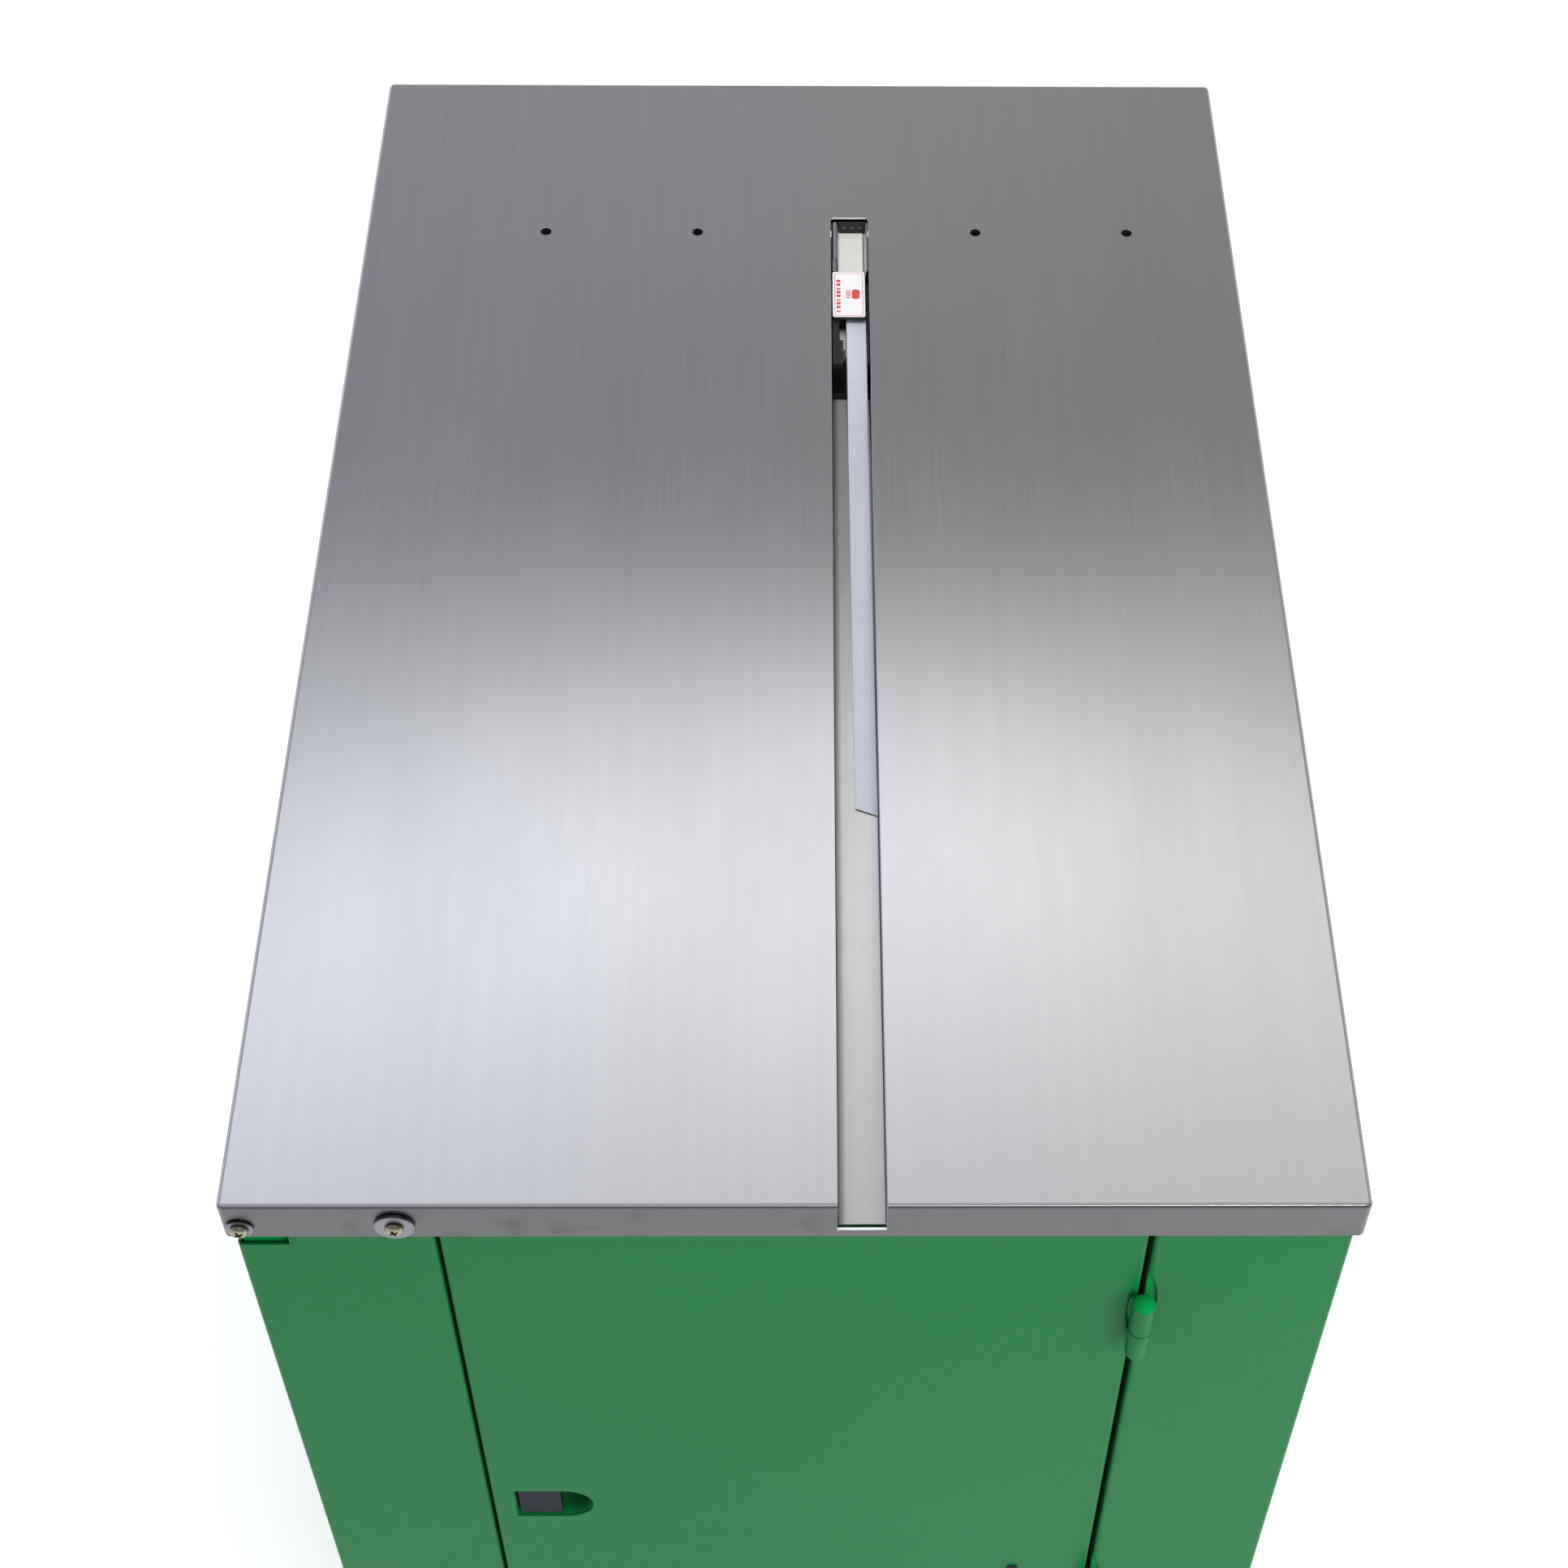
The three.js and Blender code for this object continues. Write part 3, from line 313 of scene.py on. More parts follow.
SLATE = worked("slate_plastic", "slate_plastic", (0.008, 0.011, 0.018), 0.38, 0.0, 0.6, 1600,
               Specular_IOR_Level=0.05)
RUBBER = tyre_rubber()
STRAP = strap_plastic()
STRAP_COIL = wound_strap()
MOTOR_GREY = worked("motor_grey", "motor_grey", (0.16, 0.19, 0.21), 0.42, 0.2, 0.8, 500)
RED = worked("red_plastic", "red_plastic", (0.45, 0.03, 0.02), 0.3, 0.0, 0.5, 1500)
COPPER = laminated("copper", (0.45, 0.22, 0.10), 0.8 * MM, 2)
LAMINATION = laminated("lamination", (0.30, 0.30, 0.32), 0.7 * MM, 1)
WHITE_PRINT = worked("white_print", "light_steel", (0.82, 0.81, 0.83), 0.35, 0.0, 0.25, 1500)
RED_PRINT = worked("red_print", "red_plastic", (0.62, 0.07, 0.05), 0.4, 0.0, 0.3, 1500)
GREY_PRINT = worked("grey_print", "light_steel", (0.6, 0.6, 0.6), 0.5, 0.0, 0.3, 1500)

# ---- Mesh helpers ----


def place(axis, u, v, along):
    """A point from its place along an axis and its other two coordinates, in x, y, z order."""
    if axis == "x":
        return Vector((along, u, v))
    if axis == "y":
        return Vector((u, along, v))
    return Vector((u, v, along))


def mesh_of(points, faces):
    """A clean mesh: shared points are merged and every face looks out."""
    bm = bmesh.new()
    corners = [bm.verts.new(point) for point in points]
    for face in faces:
        bm.faces.new([corners[i] for i in face])
    bmesh.ops.remove_doubles(bm, verts=bm.verts, dist=1e-6)
    bmesh.ops.dissolve_degenerate(bm, dist=1e-6, edges=bm.edges)
    bmesh.ops.recalc_face_normals(bm, faces=bm.faces)
    mesh = bpy.data.meshes.new("mesh")
    bm.to_mesh(mesh)
    bm.free()
    return mesh


def skin(loops, ring=False):
    """Loops with the same number of points, joined in order, then capped or closed to a ring."""
    count = len(loops[0])
    points = [point for loop in loops for point in loop]
    faces = []
    for i in range(len(loops) if ring else len(loops) - 1):
        a, b = i * count, (i + 1) % len(loops) * count
        for k in range(count):
            nxt = (k + 1) % count
            faces.append((a + k, a + nxt, b + nxt, b + k))
    if not ring:
        last = (len(loops) - 1) * count
        faces.append(tuple(reversed(range(count))))
        faces.append(tuple(range(last, last + count)))
    return mesh_of(points, faces)


def prism(axis, low, high, outline):
    return skin([[place(axis, u, v, along) for u, v in outline] for along in (low, high)])


def box(lo, hi):
    outline = [(lo[0], lo[1]), (hi[0], lo[1]), (hi[0], hi[1]), (lo[0], hi[1])]
    return prism("z", lo[2], hi[2], outline)


def middle_of(node, axis):
    """The middle of a CAD node's box seen along an axis, as its other two coordinates."""
    lo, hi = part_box(node)
    return tuple((lo[i] + hi[i]) / 2 for i in range(3) if "xyz"[i] != axis)


def mirrored(profile):
    """One half of a profile with its mirror image after it."""
    return [*profile, *((-along, radius) for along, radius in reversed(profile))]


def sweep(angle, steps):
    """Angles from nought to an angle, in equal steps."""
    return [angle * k / steps for k in range(steps + 1)]


def round_box(u_span, v_span, radius, steps=6):
    """Outline of a rectangle with round corners."""
    outline = []
    corners = ((u_span[1], v_span[1], 0), (u_span[0], v_span[1], 1),
               (u_span[0], v_span[0], 2), (u_span[1], v_span[0], 3))
    for u, v, quarter in corners:
        inward_u = -1 if quarter in (0, 3) else 1
        inward_v = -1 if quarter in (0, 1) else 1
        for k in range(steps + 1):
            angle = QUARTER * (quarter + k / steps)
            outline.append((u + inward_u * radius + radius * math.cos(angle),
                            v + inward_v * radius + radius * math.sin(angle)))
    return outline


def circle(centre, radius, steps):
    return [(centre[0] + radius * math.cos(a), centre[1] + radius * math.sin(a))
            for a in sweep(TURN, steps)[:-1]]


def turned(axis, centre, profile, steps=48, ring=False):
    """A turned solid. The profile is a list of (along, radius)."""
    loops = []
    for along, radius in profile:
        outline = circle(centre, max(radius, 0.0), steps)
        loops.append([place(axis, u, v, along) for u, v in outline])
    return skin(loops, ring)


def bar(axis, centre, span, radius, steps=32, soft=0.0):
    """A round bar with softened ends."""
    low, high = span
    if not soft:
        return turned(axis, centre, [(low, radius), (high, radius)], steps)
    ends = [(soft * (1 - math.cos(a)), radius - soft * (1 - math.sin(a))) for a in sweep(QUARTER, 4)]
    first = [(low + d, r) for d, r in ends]
    last = [(high - d, r) for d, r in reversed(ends)]
    return turned(axis, centre, first + last, steps)


def carved(mesh, *cutters):
    """A mesh after boolean cuts with others."""
    body = bpy.data.objects.new("carving", mesh)
    scene.collection.objects.link(body)
    tools = []
    for cutter in cutters:
        tool = bpy.data.objects.new("cutter", cutter)
        scene.collection.objects.link(tool)
        tools.append(tool)
        modifier = body.modifiers.new("cut", "BOOLEAN")
        modifier.operation = "DIFFERENCE"
        modifier.solver = "EXACT"
        modifier.object = tool
    graph = bpy.context.evaluated_depsgraph_get()
    result = bpy.data.meshes.new_from_object(body.evaluated_get(graph))
    for made in [body, *tools]:
        bpy.data.objects.remove(made)
    return result


def cad_mesh(node):
    """A CAD node's own shape as a new mesh, without its splits and flat seams."""
    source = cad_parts[node].data
    bm = bmesh.new()
    bm.from_mesh(source)
    bmesh.ops.remove_doubles(bm, verts=bm.verts, dist=2e-6)
    bmesh.ops.dissolve_limit(bm, angle_limit=math.radians(0.5), verts=bm.verts, edges=bm.edges)
    points = [vert.co.copy() for vert in bm.verts]
    faces = [[vert.index for vert in face.verts] for face in bm.faces]
    bm.free()
    mesh = bpy.data.meshes.new("mesh")
    mesh.from_pydata(points, [], faces)
    return mesh


def piece(name, mesh, look, body="cabinet", stands_for=(), bevel=0.0, segments=2, crease=32):
    """A finished visible piece: smooth shading, rounded edges, its material and its body."""
    obj = bpy.data.objects.new(name, mesh)
    scene.collection.objects.link(obj)
    mesh.materials.clear()
    mesh.materials.append(look)
    mesh.shade_smooth()
    mesh.set_sharp_from_angle(angle=math.radians(crease))
    if bevel:
        rounding = obj.modifiers.new("edges", "BEVEL")
        rounding.width = bevel
        rounding.segments = segments
        rounding.limit_method = "ANGLE"
        rounding.angle_limit = math.radians(crease)
        rounding.miter_outer = "MITER_ARC"
        rounding.use_clamp_overlap = True
    if bevel or len(mesh.polygons) > 6:
        even = obj.modifiers.new("even", "WEIGHTED_NORMAL")
        even.keep_sharp = True
    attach(obj, body)
    if stands_for:
        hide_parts(*stands_for)
    return obj


def softened(node, look, body, bevel=0.6 * MM, segments=2, crease=32):
    """The CAD node's shape with real rounded edges."""
    return piece(node + "_form", cad_mesh(node), look, body, (node,), bevel, segments, crease)


def soften_all(*rows):
    """Softened CAD shapes, from rows of node, look, body, bevel in millimetres and its segments."""
    for node, look, body, bevel, *segments in rows:
        softened(node, look, body, bevel * MM, *segments)


def fillet(path, radius, steps=6):
    """A path with its inner corners rounded, as (point, direction) pairs."""
    samples = []
    first = (Vector(path[1]) - Vector(path[0])).normalized()
    samples.append((Vector(path[0]), first))
    for before, corner, after in zip(path, path[1:], path[2:]):
        into = (Vector(corner) - Vector(before)).normalized()
        out = (Vector(after) - Vector(corner)).normalized()
        turn = math.atan2(into.x * out.y - into.y * out.x, into.dot(out))
        side = math.copysign(1, turn)
        start = Vector(corner) - into * radius * math.tan(abs(turn) / 2)
        centre = start + Vector((-into.y, into.x)) * radius * side
        for k in range(steps + 1):
            heading = into.copy()
            heading.rotate(Matrix.Rotation(turn * k / steps, 2))
            samples.append((centre - Vector((-heading.y, heading.x)) * radius * side, heading))
    last = (Vector(path[-1]) - Vector(path[-2])).normalized()
    samples.append((Vector(path[-1]), last))
    return samples


def bent_sheet(path, bend=2.5 * MM, steps=6):
    """Outline of a sheet bent along a middle line, with round bends."""
    half = SHEET / 2
    samples = fillet(path, bend - half, steps)
    left = [point + Vector((-way.y, way.x)) * half for point, way in samples]
    right = [point - Vector((-way.y, way.x)) * half for point, way in samples]
    return [tuple(p) for p in left] + [tuple(p) for p in reversed(right)]


def pan(axis, u_span, v_span, face, rim, bend=BEND_R, corner=3.6 * MM):
    """A sheet with its four edges folded the same way: the face, round bends and lips."""
    side = math.copysign(1, rim - face)
    quarter = sweep(QUARTER, 6)
    outer = [(bend * (1 - math.sin(a)), face + side * bend * (1 - math.cos(a))) for a in quarter]
    inner_r = bend - SHEET
    inner = [(bend - inner_r * math.sin(a), face + side * (bend - inner_r * math.cos(a)))
             for a in reversed(quarter)]
    rows = [*outer, (0, rim), (SHEET, rim), *inner]
    loops = []
    for inset, along in rows:
        radius = max(corner - inset, 0.3 * MM)
        outline = round_box((u_span[0] + inset, u_span[1] - inset),
                            (v_span[0] + inset, v_span[1] - inset), radius)
        loops.append([place(axis, u, v, along) for u, v in outline])
    return skin(loops)


def paint_faces(mesh, look, chooses):
    """Gives one more material to the faces that a test picks by centre and normal."""
    mesh.materials.append(look)
    for face in mesh.polygons:
        if chooses(face.center, face.normal):
            face.material_index = len(mesh.materials) - 1


# ---- Strap ----

STRAP_WIDTH = 12.5 * MM
STRAP_THICK = 0.6 * MM
STRAP_EDGE = 0.25 * MM
STRAP_MIDDLE_X = 36.45 * MM
TAIL_DRIFT = 1.9 * MM
TAIL_SLANT = 2.6 * MM
TAIL_START = (206 * MM, 727.7 * MM)
TAIL_SINK = (192 * MM, 92 * MM)
TAIL_END_Y = -183 * MM
TAIL_FLOOR = 715.5 * MM


def ribbon_loop(centre, along_y, along_z):
    """Section of the strap: flat, with rounded edges."""
    long = math.hypot(along_y, along_z)
    up = Vector((0, -along_z / long, along_y / long))
    if up.z < 0:
        up = -up
    wide, thick = STRAP_WIDTH / 2, STRAP_THICK / 2
    outline = round_box((-wide, wide), (-thick, thick), STRAP_EDGE, 2)
    return [centre + Vector((u, 0, 0)) + up * v for u, v in outline]


def tail_point(y, z):
    drift = TAIL_DRIFT * (TAIL_START[0] - y) / (TAIL_START[0] - TAIL_END_Y)
    return Vector((STRAP_MIDDLE_X + drift, y, z))


def strap_tail():
    """The free end: out from under the cover, down to the channel floor, to a slanted cut."""
    route = [tail_point(*TAIL_START)]
    steps = 24
    for i in range(steps + 1):
        t = i / steps
        y = TAIL_SINK[0] + (TAIL_SINK[1] - TAIL_SINK[0]) * t
        z = TAIL_START[1] + (TAIL_FLOOR - TAIL_START[1]) * t * t * (3 - 2 * t)
        route.append(tail_point(y, z))
    runs = 20
    for i in range(1, runs + 1):
        y = TAIL_SINK[1] + (TAIL_END_Y - TAIL_SINK[1]) * i / runs
        route.append(tail_point(y, TAIL_FLOOR))
    loops = []
    for i, point in enumerate(route):
        before, after = route[max(i - 1, 0)], route[min(i + 1, len(route) - 1)]
        loops.append(ribbon_loop(point, after.y - before.y, after.z - before.z))
    for point in loops[-1]:
        point.y -= TAIL_SLANT * (point.x - route[-1].x) / (STRAP_WIDTH / 2)
    tail = piece("strap_free_end", skin(loops), STRAP, "cabinet", ("strap_tail",), crease=50)


strap_tail()
softened("strap_run", STRAP, "cabinet", 0.15 * MM, 1, 50)

# ---- Table ----

TABLE_LO, TABLE_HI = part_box("table_top")
TABLE_TOP = TABLE_HI.z
SLOT_X = (20.5 * MM, 45 * MM)
SLOT_END_Y = 302.5 * MM
SLOT_NOTCH_Z = 713 * MM
STOP_HOLES = [24.4 * MM + offset * MM for offset in (-189.9, -90.8, 90.8, 189.9)]
STOP_HOLE_Y = 287.5 * MM
STOP_HOLE_R = 3.5 * MM


def slot_cutter():
    """The slot, open at the front lip, with round far corners."""
    u0, u1 = SLOT_X
    r = 2.2 * MM
    outline = [(u0, TABLE_LO.y - 10 * MM), (u1, TABLE_LO.y - 10 * MM)]
    outline += [(u1 - r + r * math.cos(a), SLOT_END_Y - r + r * math.sin(a))
                for a in sweep(QUARTER, 6)]
    outline += [(u0 + r - r * math.sin(a), SLOT_END_Y - r + r * math.cos(a))
                for a in sweep(QUARTER, 6)]
    return prism("z", SLOT_NOTCH_Z, TABLE_TOP + 10 * MM, outline)


def is_cut_edge(at, way):
    """Whether a face of the table is raw metal in the slot or in its notch in the lip; these faces are
    painted near-white, partly the raw metal and partly a painted highlight along the edges.
    """
    in_slot = SLOT_X[0] - MM < at.x < SLOT_X[1] + MM and at.y < SLOT_END_Y + MM
    notch_floor = way.z > 0.9 and at.z < TABLE_TOP - 10 * MM
    far_end = way.y < -0.9 and at.z > TABLE_TOP - 2 * MM
    return in_slot and (abs(way.x) > 0.7 or notch_floor or far_end)


def table():
    sheet = pan("z", (TABLE_LO.x, TABLE_HI.x), (TABLE_LO.y, TABLE_HI.y), TABLE_TOP, TABLE_LO.z,
                TABLE_BEND_R)
    holes = [bar("z", (x, STOP_HOLE_Y), (TABLE_TOP - 0.01, TABLE_TOP + 0.01), STOP_HOLE_R, 32)
             for x in STOP_HOLES]
    seams = []
    for x in (TABLE_LO.x, TABLE_HI.x):
        for y in (TABLE_LO.y + 1.9 * MM, TABLE_HI.y - 1.9 * MM):
            seams.append(box((x - 5 * MM, y - 0.3 * MM, TABLE_LO.z - 1 * MM),
                             (x + 5 * MM, y + 0.3 * MM, TABLE_TOP - 2.6 * MM)))
    mesh = carved(sheet, slot_cutter(), *holes, *seams)
    obj = piece("table_sheet", mesh, STAINLESS, "cabinet", ("table_top",), 0.35 * MM, 2, 40)
    # The lip's faces get the dark copy of the stainless: painted shade.
    paint_faces(obj.data, SHADED_LIP, lambda at, way: at.z < TABLE_TOP - MM and abs(way.z) < 0.55)
    paint_faces(obj.data, BEND_SHADE, lambda at, way: at.z > TABLE_TOP - 2.6 * MM and 0.3 < way.z < 0.7)
    paint_faces(obj.data, CUT_EDGE_HIGHLIGHT, is_cut_edge)
    for i, x in enumerate(STOP_HOLES):
        profile = [(TABLE_TOP - drop * MM, radius * MM)
                   for drop, radius in ((8, 0), (8, 5), (1.6, 5), (1.6, 3.2), (7, 3.2), (7, 0))]
        nut = turned("z", (x, STOP_HOLE_Y), profile, 24)
        piece(f"stop_hole_nut_{i + 1}", nut, DARK_STEEL, bevel=0.2 * MM)


def channel():
    """A bent trough under the slot with a worn, uneven front edge."""
    lo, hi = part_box("strap_channel")
    path = [(lo.x + SHEET / 2, hi.z), (lo.x + SHEET / 2, lo.z + SHEET / 2),
            (hi.x - SHEET / 2, lo.z + SHEET / 2), (hi.x - SHEET / 2, hi.z)]
    outline = bent_sheet(path, 2.4 * MM, 5)
    front = lo.y + 2.2 * MM
    runs = [front + (hi.y - front) * i / 40 for i in range(41)]
    loops = [[place("y", u, v, y) for u, v in outline] for y in runs]
    for point in loops[0]:
        point.y += 0.5 * MM * noise.noise(point * 420)
    for loop in loops[1:-1]:
        for point in loop:
            if point.z < lo.z + 3 * MM:
                point.z += 0.12 * MM * noise.noise(Vector((point.x * 60, point.y * 14, 3)))
    trough = piece("channel_trough", skin(loops), STAINLESS_CHANNEL, "cabinet", ("strap_channel",),
                   0.2 * MM, 1, 45)
    # Faces turned towards +X get painted shade, faces turned towards -X a painted cool reflection.
    paint_faces(trough.data, WALL_SHADE, lambda at, way: way.x > 0.3)
    paint_faces(trough.data, WALL_REFLECTION, lambda at, way: way.x < -0.3)


def lip_fastener(name, look):
    """A pan-head screw with a deep cross recess over a plain washer."""
    lo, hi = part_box(name + "_washer")
    centre = middle_of(name + "_washer", "y")
    rim, bore, edge = (hi.x - lo.x) / 2, 2.9 * MM, 0.25 * MM
    profile = [(hi.y, bore), (hi.y, rim - edge), (hi.y - edge, rim), (lo.y + edge, rim),
               (lo.y, rim - edge), (lo.y, bore)]
    piece(name + "_ring", turned("y", centre, profile, 64, ring=True), look, "cabinet", (name + "_washer",))
    head_lo, head_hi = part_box(name + "_screw")
    radius = (head_hi.x - head_lo.x) / 2
    tall = lo.y - 0.3 * MM - head_lo.y
    base = lo.y - 0.2 * MM
    dome = [(head_hi.y, 2.2 * MM), (base, 2.2 * MM), (base, radius - 0.2 * MM), (base - 0.3 * MM, radius)]
    dome += [(base - 0.3 * MM - (tall - 0.4 * MM) * math.sin(a), radius * math.cos(a) ** 0.62)
             for a in sweep(QUARTER, 10)[1:-1]]
    dome.append((head_lo.y, 0.0))
    head = turned("y", centre, dome, 48)
    turn = math.radians(24)
    arms = []
    for angle in (turn, turn + QUARTER):
        along = Vector((math.cos(angle), 0, math.sin(angle)))
        side = Vector((-math.sin(angle), 0, math.cos(angle)))
        middle = Vector((centre[0], 0, centre[1]))
        deep, high = base - 0.4 * MM, head_lo.y - 1 * MM
        loops = []
        for y, reach, half in ((deep, 1.3 * MM, 0.5 * MM), (high, 3.1 * MM, 0.8 * MM)):
            corners = ((-reach, -half), (reach, -half), (reach, half), (-reach, half))
            loops.append([middle + along * u + side * v + Vector((0, y, 0)) for u, v in corners])
        arms.append(skin(loops))
    piece(name + "_head", carved(head, *arms), NICKEL, "cabinet", (name + "_screw",), 0.12 * MM, 1, 40)


table()
channel()
lip_fastener("corner_lip", ZINC)
lip_fastener("inner_lip", ZINC)

# ---- Cabinet ----

LEFT_LO, LEFT_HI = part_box("left_side_panel")
RIGHT_LO, RIGHT_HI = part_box("right_side_panel")
DOOR_LO, DOOR_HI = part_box("door_panel")
JAMB_X = (LEFT_HI.x, RIGHT_LO.x)
FRONT_Y = LEFT_LO.y
RETURN = 15 * MM
DOORWAY_TOP = 706 * MM
NOTCH = (-252.5 * MM, 694 * MM)
STIFFENER_Z = (672 * MM, 701 * MM)
HINGE_X, HINGE_Y = middle_of("upper_hinge_socket", "z")
HINGES = {name: (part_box(name + "_hinge_pin")[0].z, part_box(name + "_hinge_socket")[1].z)
          for name in ("upper", "lower")}
WINDOW_DROP = 18 * MM  # from a hinge's top down to the middle of its windows
WINDOW_HALF = 33.5 * MM
WINDOW_WIDE = 7.6 * MM
VENT_ROWS = 5
# The lowest vent slot's place, the slots' pitch and their height, in millimetres.
VENT_LOW = 560
VENT_PITCH = 22
VENT_TALL = 8
VENT_HALF = 90 * MM
# A hood's section over a slot: millimetres out from the sheet, and above the slot's lower edge.
HOOD = ((-0.6, 10.5), (1.2, 9.6), (2.5, 7.2), (3.0, 3.5), (2.0, 3.5), (1.5, 6.6), (0.4, 8.4), (-0.6, 8.8))


def hinge_windows():
    """Lens-shaped cut-outs beside the hinge barrels."""
    cutters = []
    for _, top in HINGES.values():
        middle, half, wide = top - WINDOW_DROP, WINDOW_HALF, WINDOW_WIDE
        outline = [(HINGE_X + wide * math.cos(a), middle + half * math.sin(a))
                   for a in sweep(TURN, 36)[:-1]]
        cutters.append(prism("y", FRONT_Y - 10 * MM, FRONT_Y + 2.2 * MM, outline))
    return cutters


def side_panel(side):
    """A side sheet folded round to the front, with a return along the doorway."""
    lo, hi = (LEFT_LO, LEFT_HI) if side < 0 else (RIGHT_LO, RIGHT_HI)
    outer = (lo.x if side < 0 else hi.x) - side * SHEET / 2
    jamb = JAMB_X[0] if side < 0 else JAMB_X[1]
    inner = jamb + side * SHEET / 2
    front = FRONT_Y + SHEET / 2
    path = [(outer, hi.y), (outer, front), (inner, front), (inner, FRONT_Y + RETURN)]
    sheet = prism("z", lo.z, hi.z, bent_sheet(path))
    cutters = [box((jamb - 4 * MM, FRONT_Y + 4 * MM, DOORWAY_TOP), (jamb + 4 * MM, FRONT_Y + 20 * MM, 1))]
    if side < 0:
        name = "left"
        corner = (lo.x - MM, FRONT_Y - MM, NOTCH[1])
        cutters.append(box(corner, (NOTCH[0], FRONT_Y + 3.2 * MM, 1)))
        # A plate behind the corner notch in the lit copy of the paint: painted light inside the notch.
        stiffener = box((lo.x + 3 * MM, FRONT_Y + 2.8 * MM, STIFFENER_Z[0]),
                        (NOTCH[0] - MM, FRONT_Y + 4 * MM, STIFFENER_Z[1]))
        piece("notch_stiffener", stiffener, LIT_GREEN, bevel=0.3 * MM)
    else:
        name = "right"
        window_lo, window_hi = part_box("control_panel")
        edge = 9 * MM
        cutters.append(box((hi.x - 8 * MM, window_lo.y + edge, window_lo.z + edge),
                           (hi.x + 8 * MM, window_hi.y - edge, window_hi.z - edge)))
        cutters += hinge_windows()
    panel = carved(sheet, *cutters)
    piece(name + "_side_sheet", panel, GREEN, "cabinet", (name + "_side_panel",), 0.4 * MM)


def screw(name, axis, side, centre, face, look, body, radius=3.6 * MM, tall=2.2 * MM):
    """A small pan-head screw with a cross recess, standing on a face."""
    rows = [(0.0, radius * 0.96), (0.12, radius), (0.45, radius * 0.97), (0.75, radius * 0.8),
            (0.93, radius * 0.5), (1.0, 0.0)]
    head = turned(axis, centre, [(face + side * tall * share, r) for share, r in rows], 28)
    arms = []
    for long, wide in ((1.9 * MM, 0.42 * MM), (0.42 * MM, 1.9 * MM)):
        outline = [(centre[0] - long, centre[1] - wide), (centre[0] + long, centre[1] - wide),
                   (centre[0] + long, centre[1] + wide), (centre[0] - long, centre[1] + wide)]
        arms.append(prism(axis, face + side * tall * 0.35, face + side * tall * 1.5, outline))
    return piece(name, carved(head, *arms), look, body, (), 0.1 * MM, 1, 40)


def front_rail():
    """The rail behind the lip, open behind the corner notch and under the channel's end."""
    lo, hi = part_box("front_rail")
    channel_lo, channel_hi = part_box("strap_channel")
    corner = box((lo.x - MM, lo.y - MM, NOTCH[1] - 2 * MM), (NOTCH[0] + MM, hi.y + MM, 1))
    under = box((channel_lo.x - MM, lo.y - MM, channel_lo.z - 5 * MM), (channel_hi.x + MM, hi.y + MM, 1))
    rail = carved(cad_mesh("front_rail"), corner, under)
    piece("front_rail_form", rail, GREEN, "cabinet", ("front_rail",), 0.3 * MM)


def rear_panel():
    """The rear sheet with slots, each under a pressed hood, and the gland's hole."""
    lo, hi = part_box("rear_panel")
    cutters = [bar("y", middle_of("cable_gland", "y"), (lo.y - 5 * MM, hi.y + 5 * MM), 8.3 * MM, 32)]
    for row in range(VENT_ROWS):
        low = (VENT_LOW + VENT_PITCH * row) * MM
        high = low + VENT_TALL * MM
        cutters.append(box((-VENT_HALF, lo.y - 5 * MM, low), (VENT_HALF, hi.y + 5 * MM, high)))
        outline = [(hi.y + u * MM, low + v * MM) for u, v in HOOD]
        hood = prism("x", -VENT_HALF - 2 * MM, VENT_HALF + 2 * MM, outline)
        piece(f"rear_hood_{row + 1}", hood, GREEN, bevel=0.15 * MM)
    piece("rear_sheet", carved(box(lo, hi), *cutters), GREEN, "cabinet", ("rear_panel",), 0.4 * MM)


def cabinet():
    side_panel(-1)
    side_panel(1)
    front_rail()
    rear_panel()
    softened("base_pan", GREEN, "cabinet", 0.4 * MM)
    lo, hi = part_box("rear_panel")
    inset = 14 * MM
    rows = [lo.z + inset, (lo.z + hi.z) / 2, TABLE_LO.z - inset]
    for side, x in (("left", lo.x + inset), ("right", hi.x - inset)):
        for i, z in enumerate(rows):
            screw(f"rear_{side}_screw_{i + 1}", "y", 1, (x, z), hi.y, NICKEL, "cabinet")
    gland_lo, gland_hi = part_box("cable_gland")
    centre = middle_of("cable_gland", "y")
    reach = (gland_hi.x - gland_lo.x) / 2
    softened("cable_gland", BLACK_PLASTIC, "cabinet", 0.5 * MM)
    ribs = [(hi.y + 1.5 * MM + k * 2 * MM, reach * (0.78 if k % 2 else 0.7)) for k in range(5)]
    piece("gland_ribs", turned("y", centre, ribs, 32), BLACK_PLASTIC, "cabinet")


cabinet()

# ---- Door, hinges and latch ----

LATCH_X = (-165 * MM, -119.3 * MM)
LATCH_Z = (374 * MM, 408 * MM)
PADDLE_LOW = 379.5 * MM  # the lower edge of the lever plate's face
PADDLE_LEFT = -163 * MM  # points left of this are on the lever plate's left edge
STUD_AT = (131.2 * MM, 299 * MM)


def latch_outline(inset):
    """The latch opening: square at the lever end, a half circle at the finger end."""
    u0, u1 = LATCH_X[0] + inset, LATCH_X[1] - inset
    v0, v1 = LATCH_Z[0] + inset, LATCH_Z[1] - inset
    radius = (v1 - v0) / 2
    middle = (v0 + v1) / 2
    arc = [(u1 - radius + radius * math.cos(a), middle + radius * math.sin(a))
           for a in (math.pi * (k / 16 - 0.5) for k in range(17))]
    r = 1.2 * MM
    left_top = [(u0 + r - r * math.sin(a), v1 - r + r * math.cos(a)) for a in sweep(QUARTER, 2)]
    left_low = [(u0 + r - r * math.cos(a), v0 + r - r * math.sin(a)) for a in sweep(QUARTER, 2)]
    return [*arc, *left_top, *left_low]


